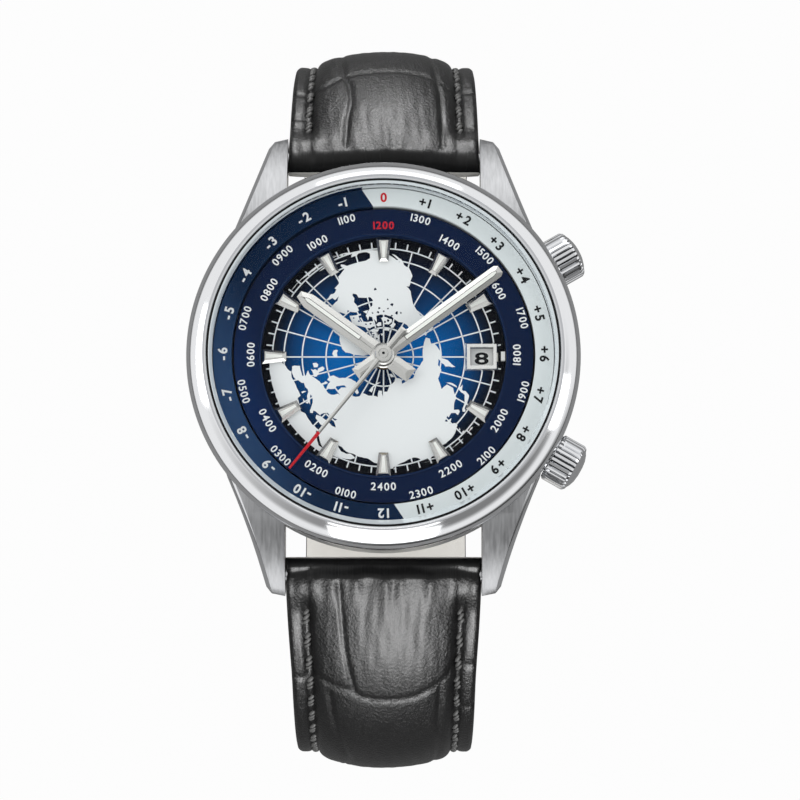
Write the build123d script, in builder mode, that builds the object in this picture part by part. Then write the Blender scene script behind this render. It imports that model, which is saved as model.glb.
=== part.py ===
from build123d import *
import os
from math import atan, atan2, cos, degrees, pi, radians, sin, sqrt

os.makedirs("parts", exist_ok=True)

# World time watch. Dial up, 12 o'clock towards +Y, 3 o'clock towards +X, and the
# origin in the middle of the case back's flat outer face. All lengths in millimetres.

# Clearances and cutting overrun
press_gap = 0.02
running_gap = 0.05
seat_gap = 0.1
soft_gap = 0.25
overrun = 1.0

# Case
bezel_diameter = 44.0
case_setback = 0.5
case_edge_chamfer = 0.35
lug_gap = 22.0
lug_overhang = 4.4
lug_tip_width = 2.2
lug_bevel = 0.45
lug_tip_lift = 0.3
lug_end_height = 2.0
lug_shoulder_angle = 36.0
lug_root_angle = 24.0
spring_bar_radius = 0.9
spring_bar_height = 2.2
spring_bar_pivot = 1.2
spring_bar_pivot_radius = 0.45

# Case back and its seal
back_thickness = 1.0
back_boss_height = 1.0
back_boss_width = 1.7
back_edge = 0.4
back_bevel = 0.5
key_slot_count = 6
key_slot_width = 3.2
key_slot_length = 1.6
key_slot_depth = 0.45
back_seal_share = 0.55
back_seal_depth = 0.45

# Crowns
crown_angle = 30.0
crown_axis_rise = 3.5
crown_diameter = 5.4
crown_length = 3.0
crown_dome = 0.65
crown_dome_taper = 38.0
crown_stand_off = 0.25
crown_recess_gap = 0.35
crown_spot_depth = 0.2
crown_flutes = 30
flute_radius = 0.2
crown_socket_depth = 1.85
tube_outer_radius = 1.5
tube_stick_out = 1.3
stem_radius = 0.6
crown_seal_thickness = 0.35

# Turning ring with its face teeth, and the pinion that drives it
bezel_band = 3.0
ring_band = 2.05
ring_teeth = 144
pinion_teeth = 16
ring_height = 1.5
ring_flange_height = 0.75
ring_flange_reach = 0.45
tooth_face_width = 1.2
pinion_face_width = 0.8

# Dial, number ring, hour markers and date
dial_thickness = 0.4
dial_under_ring = 0.17
dial_edge_gap = 0.25
dial_hole_radius = 1.4
number_ring_band = 3.05
number_ring_height = 1.3
trim_ring_width = 0.18
trim_ring_height = 0.12
calendar_space = 0.6
marker_setback = 0.3
marker_length = 2.7
marker_outer_width = 1.75
marker_inner_width = 1.05
marker_height = 0.6
marker_bevel_height = 0.3
marker_bevel_angle = 42.0
three_marker_length = 0.45
three_marker_width = 1.0
date_frame_length = 3.8
date_frame_width = 3.3
date_frame_height = 0.4
date_frame_taper = 30.0
date_window_length = 2.55
date_window_width = 2.1
date_disc_thickness = 0.25
date_disc_band = 3.3

# Hands
hand_gap = 0.15
hand_thickness = 0.35
hand_bevel_height = 0.2
hand_bevel_angle = 55.0
hour_hand_setback = 5.15
hour_hand_width = 1.75
hour_hand_point = 1.3
minute_hand_setback = 0.65
minute_hand_width = 1.45
minute_hand_point = 0.5
hand_tail = 3.85
hand_tip_share = 0.55
hour_hub_radius = 1.45
minute_hub_radius = 1.2
seconds_hand_setback = 0.3
seconds_hand_width = 0.38
seconds_hand_thickness = 0.2
seconds_tail = 3.7
seconds_tail_width = 0.85
seconds_hub_radius = 0.94
seconds_hub_height = 0.2
seconds_arbor_radius = 0.25
cannon_wall = 0.35
hour_pipe_wall = 0.35
hour_angle = 306.5
minute_angle = 53.4
seconds_angle = 218.8

# Crystal and bezel
crystal_gap = 0.35
crystal_thickness = 1.45
crystal_overlap = 0.45
crystal_chamfer = 0.45
crystal_chamfer_height = 0.3
crystal_seal_width = 0.25
crystal_seal_height = 0.9
bezel_lip_width = 0.4
bezel_rise = 1.2
bezel_skirt = 1.0
bezel_bulge_share = 0.62

# Movement
movement_radius = 13.0
spacer_step = 2.2
date_disc_setback = 2.0
plate_below_stem = 1.0
bridge_thickness = 1.0
bridge_setback = 1.2
rotor_gap = 0.2
rotor_radius = 12.6
rotor_rim = 3.2
rotor_bearing_radius = 2.2
rotor_screw_radius = 1.0
barrel_radius = 4.6
barrel_setback = 0.8
barrel_angle = 125.0
barrel_floor = 0.5
barrel_arbor_radius = 0.6
balance_radius = 3.8
balance_setback = 0.9
balance_angle = 225.0
balance_rim_width = 0.55
balance_rim_height = 0.4
balance_arm_width = 0.45
balance_staff_radius = 0.3
pivot_radius = 0.12
balance_room = 0.45
cock_width = 3.2
winding_pinion_length = 1.4
winding_pinion_setback = 2.0
winding_stem_pivot = 1.0
motion_wheel_thickness = 0.2
minute_wheel_ratio = 3
hour_wheel_ratio = 4
minute_wheel_angle = 60.0
clamp_length = 3.4
clamp_width = 2.6
clamp_thickness = 0.45
clamp_angles = (80.0, 260.0)
screw_head_radius = 0.75
screw_head_height = 0.4
screw_slot_width = 0.2
bridge_screw_angles = (20.0, 75.0, 175.0)

# Strap
strap_side_gap = 0.15
strap_case_gap = 0.5
strap_roll_radius = 2.0
strap_taper = 1.7
strap_edge_thickness = 2.3
strap_centre_thickness = 4.3
strap_pad_share = 0.45
strap_tip_edge = 1.9
strap_tip_centre = 2.6
strap_flat_margin = 2.6
strap_pad_slope = 2.2
strap_swell_out = 15.8
strap_swell_drop = 24.0
short_strap_drop = 43.0
short_strap_flat = 13.9
long_strap_step = 11.0
long_strap_flat = 38.6
strap_section_step = 6.5
strap_tip_length = 9.0
strap_tip_shares = ((0.4, 0.93), (0.75, 0.74), (1.0, 0.42))
strap_hole_count = 7
strap_hole_pitch = 6.5
strap_hole_first = 22.0
strap_hole_radius = 1.0

# Keepers
keeper_width = 4.5
keeper_wall = 1.0
fixed_keeper_back = 5.4
free_keeper_back = 11.5

# Buckle
buckle_bar_radius = 0.75
buckle_inner_length = 9.5
buckle_frame_width = 2.0
buckle_frame_thickness = 1.9
buckle_side_gap = 0.2
buckle_corner = 3.0
buckle_ear_radius = 1.5
tongue_width = 2.2
tongue_thickness = 1.0
tongue_ring_wall = 0.55
tongue_notch_gap = 0.3
tongue_notch_length = 3.6
tongue_overhang = 0.6

# Radii that follow from the driving sizes
bezel_radius = bezel_diameter / 2
case_radius = bezel_radius - case_setback
ring_outer_radius = bezel_radius - bezel_band
ring_inner_radius = ring_outer_radius - ring_band
ring_flange_radius = ring_outer_radius + ring_flange_reach
bore_radius = ring_flange_radius + running_gap
case_wall = case_radius - bore_radius
crystal_radius = ring_outer_radius + crystal_overlap
number_ring_inner_radius = ring_inner_radius - number_ring_band
marker_outer_reach = number_ring_inner_radius - marker_setback
marker_middle = marker_outer_reach - marker_length / 2
date_reach = movement_radius - date_disc_setback
spacer_step_radius = movement_radius + spacer_step
barrel_reach = movement_radius - barrel_setback - barrel_radius
balance_offset = movement_radius - balance_setback - balance_radius
winding_pinion_reach = movement_radius - winding_pinion_setback
stem_inner_reach = winding_pinion_reach - winding_pinion_length - winding_stem_pivot
hour_hand_length = ring_inner_radius - hour_hand_setback
minute_hand_length = ring_inner_radius - minute_hand_setback
seconds_hand_length = ring_inner_radius - seconds_hand_setback
pitch_radius = (ring_inner_radius + ring_outer_radius) / 2
tooth_module = 2 * pitch_radius / ring_teeth
pinion_pitch_radius = pitch_radius * pinion_teeth / ring_teeth
tooth_reach = 0.9 * tooth_module
tooth_root = 1.1 * tooth_module
tooth_pitch = pi * tooth_module
dial_radius = ring_inner_radius - dial_edge_gap
crown_radius = crown_diameter / 2
crown_base = case_radius + crown_stand_off
crown_seat = crown_base + crown_socket_depth
crown_end = crown_base + crown_length
cannon_bore = seconds_arbor_radius + running_gap
cannon_radius = cannon_bore + cannon_wall
hour_pipe_bore = cannon_radius + running_gap
hour_pipe_radius = hour_pipe_bore + hour_pipe_wall
back_radius = case_radius - 2 * case_edge_chamfer - back_edge
back_seal_width = back_seal_share * (back_radius - bore_radius)
spring_bar_reach = case_radius + strap_case_gap + strap_roll_radius
winding_pinion_radius = plate_below_stem - 1.5 * seat_gap

# Heights above the back face, from the bottom up
case_bottom = back_thickness
boss_top = case_bottom + back_boss_height
crown_height = case_bottom + crown_axis_rise
plate_bottom = crown_height - plate_below_stem
bridge_bottom = plate_bottom - bridge_thickness
rotor_bottom = back_thickness + rotor_gap
rotor_top = bridge_bottom - rotor_gap
mesh_height = crown_height + pinion_pitch_radius
ring_tooth_tip = mesh_height - tooth_reach
ring_bottom = mesh_height + tooth_root
ring_top = ring_bottom + ring_height
ring_flange_top = ring_bottom + ring_flange_height
case_top = ring_flange_top + running_gap
dial_bottom = ring_tooth_tip - dial_under_ring
dial_top = dial_bottom + dial_thickness
plate_top = dial_bottom - calendar_space
number_ring_top = dial_top + number_ring_height
hour_hand_bottom = dial_top + marker_height + hand_gap
minute_hand_bottom = max(hour_hand_bottom + hand_thickness, number_ring_top) + hand_gap
seconds_hand_bottom = minute_hand_bottom + hand_thickness + hand_gap
seconds_hand_top = seconds_hand_bottom + seconds_hand_thickness
crystal_bottom = max(seconds_hand_top + seconds_hub_height, ring_top) + crystal_gap
bezel_top = crystal_bottom + bezel_rise


def crown_plane(angle, reach):
    """Plane square to a crown's axis, its Z pointing outwards and its Y up."""
    direction = Vector(cos(radians(angle)), sin(radians(angle)), 0)
    across = Vector(-sin(radians(angle)), cos(radians(angle)), 0)
    return Plane(origin=direction * reach + Vector(0, 0, crown_height), x_dir=across, z_dir=direction)


def dial_plane(clock_angle, height):
    """Plane parallel to the dial whose X points to an angle counted clockwise from 12."""
    turn = radians(90 - clock_angle)
    return Plane(origin=(0, 0, height), x_dir=(cos(turn), sin(turn), 0), z_dir=(0, 0, 1))


def polar_point(reach, angle):
    return (reach * cos(radians(angle)), reach * sin(radians(angle)))


def finish(piece, name):
    piece.part.label = name
    export_step(piece.part, "parts/" + name + ".step")


# Mid case with its four lugs
lug_half_gap = lug_gap / 2
lug_reach = bezel_radius + lug_overhang
lug_root = polar_point(case_radius - case_wall / 2, lug_root_angle)
shoulder = polar_point(bezel_radius - 0.4 * case_setback, lug_shoulder_angle)
hip = (lug_half_gap + 0.63 * (shoulder[0] - lug_half_gap), 0.72 * lug_reach)
tip_corner = (lug_half_gap + lug_tip_width, 0.95 * lug_reach)
tip_end = (lug_half_gap, lug_reach)
tip_mid = (lug_half_gap + 0.7 * lug_tip_width, 0.982 * lug_reach)
lug_top = case_top - 2 * case_edge_chamfer
tip_top = lug_tip_lift + lug_end_height

with BuildPart() as mid_case:
    with BuildSketch(Plane.XY):
        with BuildLine():
            Line((lug_half_gap, 0.5 * lug_reach), lug_root)
            Line(lug_root, shoulder)
            ThreePointArc(shoulder, hip, tip_corner)
            Line(tip_corner, tip_mid)
            Line(tip_mid, tip_end)
            Line(tip_end, (lug_half_gap, 0.5 * lug_reach))
        make_face()
        mirror(about=Plane.XZ)
        mirror(about=Plane.YZ)
    extrude(amount=case_top + overrun)
    with BuildSketch(Plane.YZ):
        with BuildLine():
            Line((0, case_bottom), (0, lug_top))
            Line((0, lug_top), (0.6 * lug_reach, lug_top))
            ThreePointArc(
                (0.6 * lug_reach, lug_top),
                (0.86 * lug_reach, tip_top + 0.55 * (lug_top - tip_top)),
                (lug_reach, tip_top),
            )
            Line((lug_reach, tip_top), (0.975 * lug_reach, lug_tip_lift))
            ThreePointArc(
                (0.975 * lug_reach, lug_tip_lift),
                (0.84 * lug_reach, lug_tip_lift + 0.35 * (case_bottom - lug_tip_lift)),
                (0.72 * lug_reach, case_bottom),
            )
            Line((0.72 * lug_reach, case_bottom), (0, case_bottom))
        make_face()
        mirror(about=Plane.YZ)
    extrude(amount=bezel_diameter, both=True, mode=Mode.INTERSECT)
    lug_outer_edges = mid_case.edges().filter_by(
        lambda edge: edge.center().Z > tip_top
        and sqrt(edge.center().X ** 2 + edge.center().Y ** 2) > bore_radius
        and abs(edge.center().X) > lug_half_gap + 0.5 * lug_tip_width
        and edge.bounding_box().size.Y > lug_tip_width
    )
    chamfer(lug_outer_edges, length=lug_bevel)
    with BuildSketch(Plane.XZ):
        with BuildLine():
            Polyline(
                (0, case_bottom),
                (case_radius - 2 * case_edge_chamfer, case_bottom),
                (case_radius, case_bottom + 2 * case_edge_chamfer),
                (case_radius, case_top - case_edge_chamfer),
                (case_radius - case_edge_chamfer, case_top),
                (0, case_top),
                close=True,
            )
        make_face()
    revolve(axis=Axis.Z)
    with BuildSketch(Plane.XY):
        Circle(bore_radius)
    extrude(amount=case_top + overrun, mode=Mode.SUBTRACT)
    with BuildSketch(Plane.XY.offset(case_bottom)):
        Circle(bore_radius + 1.5 * back_seal_width)
        Circle(bore_radius + 0.5 * back_seal_width, mode=Mode.SUBTRACT)
    extrude(amount=back_seal_depth, mode=Mode.SUBTRACT)
    for angle in (crown_angle, -crown_angle):
        with BuildSketch(crown_plane(angle, case_radius - crown_spot_depth)):
            Circle(crown_radius + crown_recess_gap)
        extrude(amount=crown_length + crown_spot_depth, mode=Mode.SUBTRACT)
        with BuildSketch(crown_plane(angle, 0.8 * bore_radius)):
            Circle(tube_outer_radius)
        extrude(amount=bore_radius, mode=Mode.SUBTRACT)
    for side in (1, -1):
        with BuildSketch(Plane.YZ):
            with Locations((side * spring_bar_reach, spring_bar_height)):
                Circle(spring_bar_pivot_radius)
        extrude(amount=lug_half_gap + spring_bar_pivot, both=True, mode=Mode.SUBTRACT)
finish(mid_case, "mid_case")

# Bezel, a polished ring with a convex outer face and a seat for the crystal
bezel_seat_radius = crystal_radius + crystal_seal_width
bezel_lip_radius = bezel_seat_radius + bezel_lip_width
bezel_shoulder = case_top + bezel_skirt
with BuildPart() as bezel:
    with BuildSketch(Plane.XZ):
        with BuildLine():
            Line((ring_outer_radius + running_gap, case_top), (case_radius, case_top))
            Line((case_radius, case_top), (bezel_radius, case_top + 0.4 * bezel_skirt))
            Line((bezel_radius, case_top + 0.4 * bezel_skirt), (bezel_radius, bezel_shoulder))
            ThreePointArc(
                (bezel_radius, bezel_shoulder),
                (
                    bezel_lip_radius + bezel_bulge_share * (bezel_radius - bezel_lip_radius),
                    bezel_shoulder + (1 - 0.5 * bezel_bulge_share) * (bezel_top - bezel_shoulder),
                ),
                (bezel_lip_radius, bezel_top),
            )
            Line((bezel_lip_radius, bezel_top), (bezel_seat_radius, bezel_top - 0.1 * bezel_rise))
            Line((bezel_seat_radius, bezel_top - 0.1 * bezel_rise), (bezel_seat_radius, crystal_bottom))
            Line((bezel_seat_radius, crystal_bottom), (ring_outer_radius + running_gap, crystal_bottom))
            Line((ring_outer_radius + running_gap, crystal_bottom), (ring_outer_radius + running_gap, case_top))
        make_face()
    revolve(axis=Axis.Z)
finish(bezel, "bezel")

# Crystal, flat with a chamfered rim, and its seal
with BuildPart() as crystal:
    with BuildSketch(Plane.XY.offset(crystal_bottom)):
        Circle(crystal_radius)
    extrude(amount=crystal_thickness)
    crystal_rim = crystal.faces().sort_by(Axis.Z)[-1].edges()
    chamfer(crystal_rim, length=crystal_chamfer_height, length2=crystal_chamfer)
finish(crystal, "crystal")

with BuildPart() as crystal_seal:
    with BuildSketch(Plane.XY.offset(crystal_bottom)):
        Circle(bezel_seat_radius)
        Circle(crystal_radius, mode=Mode.SUBTRACT)
    extrude(amount=crystal_seal_height)
finish(crystal_seal, "crystal_seal")

# Case back with key slots, and its seal
boss_radius = bore_radius - press_gap
with BuildPart() as case_back:
    with BuildSketch(Plane.XZ):
        with BuildLine():
            Polyline(
                (0, 0),
                (back_radius - back_bevel, 0),
                (back_radius, back_bevel),
                (back_radius, back_thickness),
                (boss_radius, back_thickness),
                (boss_radius, boss_top),
                (boss_radius - back_boss_width, boss_top),
                (boss_radius - back_boss_width, back_thickness),
                (0, back_thickness),
                close=True,
            )
        make_face()
    revolve(axis=Axis.Z)
    with BuildSketch(Plane.XY):
        with PolarLocations(back_radius, key_slot_count, start_angle=crown_angle):
            Rectangle(2 * key_slot_length, key_slot_width)
    extrude(amount=key_slot_depth, mode=Mode.SUBTRACT)
finish(case_back, "case_back")

with BuildPart() as back_seal:
    with BuildSketch(Plane.XY.offset(case_bottom)):
        Circle(bore_radius + 1.5 * back_seal_width)
        Circle(bore_radius + 0.5 * back_seal_width, mode=Mode.SUBTRACT)
    extrude(amount=back_seal_depth)
finish(back_seal, "back_seal")

# Spring bars, with a thin pivot at each end in the lug holes
for side, name in ((1, "spring_bar_upper"), (-1, "spring_bar_lower")):
    with BuildPart() as spring_bar:
        with BuildSketch(Plane.YZ):
            with Locations((side * spring_bar_reach, spring_bar_height)):
                Circle(spring_bar_radius)
        extrude(amount=lug_half_gap - running_gap, both=True)
        with BuildSketch(Plane.YZ):
            with Locations((side * spring_bar_reach, spring_bar_height)):
                Circle(spring_bar_pivot_radius)
        extrude(amount=lug_half_gap + spring_bar_pivot, both=True)
    finish(spring_bar, name)

# Crown tubes pressed through the case wall
tube_inner_end = bore_radius + running_gap
tube_outer_end = case_radius + tube_stick_out
for angle, name in ((crown_angle, "crown_tube_upper"), (-crown_angle, "crown_tube_lower")):
    with BuildPart() as crown_tube:
        with BuildSketch(crown_plane(angle, tube_inner_end)):
            Circle(tube_outer_radius)
            Circle(stem_radius + running_gap, mode=Mode.SUBTRACT)
        extrude(amount=tube_outer_end - tube_inner_end)
    finish(crown_tube, name)

# Crowns with a fluted grip and a domed end, and the flat seal inside each
crown_seal_start = crown_seat - crown_seal_thickness
for angle, place in ((crown_angle, "upper"), (-crown_angle, "lower")):
    with BuildPart() as crown:
        with BuildSketch(crown_plane(angle, crown_base)):
            Circle(crown_radius)
            with PolarLocations(crown_radius, crown_flutes):
                Circle(flute_radius, mode=Mode.SUBTRACT)
        extrude(amount=crown_length)
        with BuildSketch(crown_plane(angle, crown_end)):
            Circle(crown_radius - 1.2 * flute_radius)
        extrude(amount=crown_dome, taper=crown_dome_taper)
        with BuildSketch(crown_plane(angle, crown_base)):
            Circle(tube_outer_radius + seat_gap)
        extrude(amount=crown_socket_depth, mode=Mode.SUBTRACT)
    finish(crown, "crown_" + place)
    with BuildPart() as crown_seal:
        with BuildSketch(crown_plane(angle, crown_seal_start)):
            Circle(tube_outer_radius)
            Circle(stem_radius, mode=Mode.SUBTRACT)
        extrude(amount=crown_seal_thickness)
    finish(crown_seal, "crown_seal_" + place)

# Pinion on the upper crown's stem
pinion_start = pitch_radius - pinion_face_width / 2
pinion_room = pinion_pitch_radius + tooth_reach + seat_gap
stem_pilot = pinion_start - tooth_face_width / 2
tooth_tip_width = 0.2 * tooth_pitch
tooth_root_width = 0.46 * tooth_pitch
tooth_flank_angle = degrees(atan2(tooth_reach + tooth_root, (tooth_root_width - tooth_tip_width) / 2))
pinion_root_radius = pinion_pitch_radius - tooth_root
tooth_height = tooth_reach + tooth_root
with BuildPart() as ring_pinion:
    with BuildSketch(crown_plane(crown_angle, pinion_start)):
        Circle(pinion_root_radius + 0.1 * tooth_root)
        with PolarLocations(pinion_root_radius + tooth_height / 2, pinion_teeth, start_angle=90):
            Trapezoid(tooth_root_width, tooth_height, tooth_flank_angle, rotation=-90)
        Circle(stem_radius, mode=Mode.SUBTRACT)
    extrude(amount=pinion_face_width)
finish(ring_pinion, "ring_pinion")

with BuildPart() as ring_stem:
    with BuildSketch(crown_plane(crown_angle, stem_pilot)):
        Circle(stem_radius)
    extrude(amount=crown_seat - stem_pilot)
finish(ring_stem, "ring_stem")

# Turning time zone ring, with face teeth under it
with BuildPart() as time_zone_ring:
    with BuildSketch(Plane.XY.offset(ring_bottom)):
        Circle(ring_outer_radius)
        Circle(ring_inner_radius, mode=Mode.SUBTRACT)
    extrude(amount=ring_height)
    with BuildSketch(Plane.XY.offset(ring_bottom)):
        Circle(ring_flange_radius)
        Circle(ring_inner_radius, mode=Mode.SUBTRACT)
    extrude(amount=ring_flange_height)
    with BuildSketch(Plane.XY.offset(ring_tooth_tip)):
        half_pitch = 180 / ring_teeth
        with PolarLocations(pitch_radius, ring_teeth, start_angle=crown_angle + half_pitch):
            Rectangle(tooth_face_width, 0.4 * tooth_pitch)
    extrude(amount=ring_bottom - ring_tooth_tip)
finish(time_zone_ring, "time_zone_ring")

# Winding stem of the lower crown, and the pinion that it slides through
with BuildPart() as winding_stem:
    with BuildSketch(crown_plane(-crown_angle, stem_inner_reach)):
        Circle(stem_radius)
    extrude(amount=crown_seat - stem_inner_reach)
finish(winding_stem, "winding_stem")

with BuildPart() as winding_pinion:
    with BuildSketch(crown_plane(-crown_angle, winding_pinion_reach)):
        RegularPolygon(winding_pinion_radius, pinion_teeth)
        Circle(stem_radius + running_gap, mode=Mode.SUBTRACT)
    extrude(amount=-winding_pinion_length)
finish(winding_pinion, "winding_pinion")

# Movement spacer ring, which carries the dial and guides the turning ring
spacer_radius = bore_radius - running_gap
spacer_rim = pitch_radius + tooth_face_width / 2 + 2 * seat_gap
with BuildPart() as movement_ring:
    with BuildSketch(Plane.XY.offset(boss_top)):
        Circle(spacer_radius)
        Circle(spacer_step_radius, mode=Mode.SUBTRACT)
    extrude(amount=dial_bottom - boss_top)
    with BuildSketch(Plane.XY.offset(plate_bottom)):
        Circle(spacer_radius)
        Circle(movement_radius + running_gap, mode=Mode.SUBTRACT)
    extrude(amount=dial_bottom - plate_bottom)
    with BuildSketch(Plane.XY.offset(dial_bottom)):
        Circle(spacer_radius)
        Circle(spacer_rim, mode=Mode.SUBTRACT)
    extrude(amount=ring_bottom - running_gap - dial_bottom)
    for angle in (crown_angle, -crown_angle):
        with BuildSketch(crown_plane(angle, movement_radius - overrun)):
            Circle(stem_radius + running_gap)
        extrude(amount=bore_radius, mode=Mode.SUBTRACT)
    with BuildSketch(crown_plane(crown_angle, pinion_start - 2 * seat_gap)):
        Circle(pinion_room)
    extrude(amount=pinion_face_width + 4 * seat_gap, mode=Mode.SUBTRACT)
finish(movement_ring, "movement_ring")

# Main plate with pockets for the barrel, the balance, the winding pinion and the motion wheels
barrel_place = polar_point(barrel_reach, barrel_angle)
balance_place = polar_point(balance_offset, balance_angle)
barrel_top = plate_top - barrel_floor
balance_rim_bottom = plate_bottom + 2 * seat_gap
balance_room_top = balance_rim_bottom + balance_rim_height + 2 * seat_gap
with BuildPart() as main_plate:
    with BuildSketch(Plane.XY.offset(plate_bottom)):
        Circle(movement_radius)
        Circle(cannon_radius + running_gap, mode=Mode.SUBTRACT)
    extrude(amount=plate_top - plate_bottom)
    with BuildSketch(Plane.XY.offset(plate_bottom)):
        with Locations(barrel_place):
            Circle(barrel_radius + seat_gap)
    extrude(amount=barrel_top - plate_bottom, mode=Mode.SUBTRACT)
    with BuildSketch(Plane.XY.offset(plate_bottom)):
        with Locations(balance_place):
            Circle(balance_radius + balance_room)
    extrude(amount=balance_room_top - plate_bottom, mode=Mode.SUBTRACT)
    with BuildSketch(Plane.XY.offset(plate_bottom)):
        with Locations(balance_place):
            Circle(pivot_radius + running_gap)
    extrude(amount=balance_room_top - plate_bottom + barrel_floor, mode=Mode.SUBTRACT)
    with BuildSketch(crown_plane(-crown_angle, stem_inner_reach - running_gap)):
        Circle(stem_radius + running_gap)
    extrude(amount=movement_radius, mode=Mode.SUBTRACT)
    with BuildSketch(crown_plane(-crown_angle, winding_pinion_reach + running_gap)):
        Circle(winding_pinion_radius + seat_gap)
    extrude(amount=-(winding_pinion_length + 2 * running_gap), mode=Mode.SUBTRACT)
finish(main_plate, "main_plate")

# Mainspring barrel on its arbor
with BuildPart() as barrel:
    with BuildSketch(Plane.XY.offset(plate_bottom + running_gap)):
        with Locations(barrel_place):
            Circle(barrel_radius)
            Circle(barrel_arbor_radius + running_gap, mode=Mode.SUBTRACT)
    extrude(amount=barrel_top - plate_bottom - 2 * running_gap)
finish(barrel, "barrel")

# Train bridge under the main plate, cut away round the balance
bridge_radius = movement_radius - bridge_setback
balance_clear = balance_radius + balance_room
with BuildPart() as train_bridge:
    with BuildSketch(Plane.XY.offset(bridge_bottom)):
        Circle(bridge_radius)
        with Locations(balance_place):
            Circle(balance_clear, mode=Mode.SUBTRACT)
    extrude(amount=bridge_thickness)
    with BuildSketch(Plane.XY.offset(plate_bottom)):
        with Locations(barrel_place):
            Circle(barrel_arbor_radius)
    extrude(amount=barrel_top - plate_bottom - 2 * running_gap)
finish(train_bridge, "train_bridge")

# Balance wheel with its staff, and the cock that holds the staff's lower pivot
with BuildPart() as balance_wheel:
    with BuildSketch(Plane.XY.offset(balance_rim_bottom)):
        with Locations(balance_place):
            Circle(balance_radius)
            Circle(balance_radius - balance_rim_width, mode=Mode.SUBTRACT)
            Rectangle(2 * balance_radius - balance_rim_width, balance_arm_width)
            Circle(2 * balance_staff_radius)
    extrude(amount=balance_rim_height)
    with BuildSketch(Plane.XY.offset(plate_bottom + running_gap)):
        with Locations(balance_place):
            Circle(balance_staff_radius)
    extrude(amount=balance_room_top - plate_bottom - 2 * running_gap)
    with BuildSketch(Plane.XY.offset(plate_bottom - barrel_floor)):
        with Locations(balance_place):
            Circle(pivot_radius)
    extrude(amount=balance_room_top - plate_bottom + 2 * barrel_floor - running_gap)
finish(balance_wheel, "balance_wheel")

cock_start = balance_offset - 2 * balance_staff_radius - cock_width / 2
with BuildPart() as balance_cock:
    with BuildSketch(Plane(origin=(0, 0, plate_bottom), x_dir=(*polar_point(1, balance_angle), 0))):
        with Locations(((cock_start + movement_radius) / 2, 0)):
            Rectangle(movement_radius - cock_start, cock_width)
        Circle(movement_radius - running_gap, mode=Mode.INTERSECT)
        with Locations((balance_offset, 0)):
            Circle(pivot_radius + running_gap, mode=Mode.SUBTRACT)
    extrude(amount=-0.8 * bridge_thickness)
finish(balance_cock, "balance_cock")

# Winding rotor on its bearing
rotor_height = rotor_top - rotor_bottom
with BuildPart() as rotor:
    with BuildSketch(Plane.XY.offset(rotor_bottom)):
        Circle(rotor_radius)
        with Locations((0, rotor_radius / 2)):
            Rectangle(2 * rotor_radius, rotor_radius, mode=Mode.SUBTRACT)
        Circle(rotor_bearing_radius + rotor_rim / 2)
        Circle(rotor_bearing_radius + running_gap, mode=Mode.SUBTRACT)
    extrude(amount=rotor_height)
    with BuildSketch(Plane.XY.offset(rotor_bottom + rotor_height / 2)):
        Circle(rotor_radius - rotor_rim)
        Circle(rotor_bearing_radius + rotor_rim, mode=Mode.SUBTRACT)
        with Locations((0, rotor_radius / 2)):
            Rectangle(2 * rotor_radius, rotor_radius, mode=Mode.SUBTRACT)
    extrude(amount=rotor_height / 2, mode=Mode.SUBTRACT)
finish(rotor, "rotor")

with BuildPart() as rotor_bearing:
    with BuildSketch(Plane.XY.offset(rotor_bottom)):
        Circle(rotor_bearing_radius)
    extrude(amount=bridge_bottom - rotor_bottom)
    with BuildSketch(Plane.XY.offset(rotor_bottom)):
        Rectangle(2 * rotor_screw_radius, screw_slot_width)
    extrude(amount=screw_head_height / 2, mode=Mode.SUBTRACT)
finish(rotor_bearing, "rotor_bearing")

# Movement clamps and the screws of clamps, bridge and cock
clamp_reach = (movement_radius + spacer_step_radius) / 2
with BuildPart() as movement_clamps:
    with BuildSketch(Plane.XY.offset(plate_bottom)):
        for angle in clamp_angles:
            with PolarLocations(clamp_reach - screw_head_radius, 1, start_angle=angle):
                Rectangle(clamp_length, clamp_width)
        Circle(bridge_radius + seat_gap, mode=Mode.SUBTRACT)
        Circle(spacer_step_radius - running_gap, mode=Mode.INTERSECT)
    extrude(amount=-clamp_thickness)
finish(movement_clamps, "movement_clamps")

bridge_screw_reach = bridge_radius - 2 * screw_head_radius
screw_places = [(clamp_reach, angle, plate_bottom - clamp_thickness) for angle in clamp_angles]
screw_places += [(bridge_screw_reach, angle, bridge_bottom) for angle in bridge_screw_angles]
screw_places += [
    (movement_radius - 1.6 * screw_head_radius, balance_angle, plate_bottom - 0.8 * bridge_thickness)
]
with BuildPart() as movement_screws:
    for reach, angle, height in screw_places:
        head = min(screw_head_height, (height - rotor_top) / 2)
        with BuildSketch(Plane.XY.offset(height)):
            with Locations(polar_point(reach, angle)):
                Circle(screw_head_radius)
        extrude(amount=-head)
        with BuildSketch(Plane.XY.offset(height - head)):
            with Locations(polar_point(reach, angle)):
                Rectangle(2 * screw_head_radius, screw_slot_width)
        extrude(amount=head / 2, mode=Mode.SUBTRACT)
finish(movement_screws, "movement_screws")

# Motion work under the dial: cannon pinion, minute wheel and hour wheel
wheel_level = plate_top + running_gap
upper_level = wheel_level + motion_wheel_thickness + running_gap
minute_wheel_radius = minute_wheel_ratio * cannon_radius
minute_wheel_reach = cannon_radius + minute_wheel_radius + running_gap
minute_pinion_radius = (minute_wheel_reach - running_gap) / (1 + hour_wheel_ratio)
hour_wheel_radius = hour_wheel_ratio * minute_pinion_radius
with BuildPart() as cannon_pinion:
    with BuildSketch(Plane.XY.offset(plate_bottom)):
        Circle(cannon_radius)
        Circle(cannon_bore, mode=Mode.SUBTRACT)
    extrude(amount=minute_hand_bottom - plate_bottom)
finish(cannon_pinion, "cannon_pinion")

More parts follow.
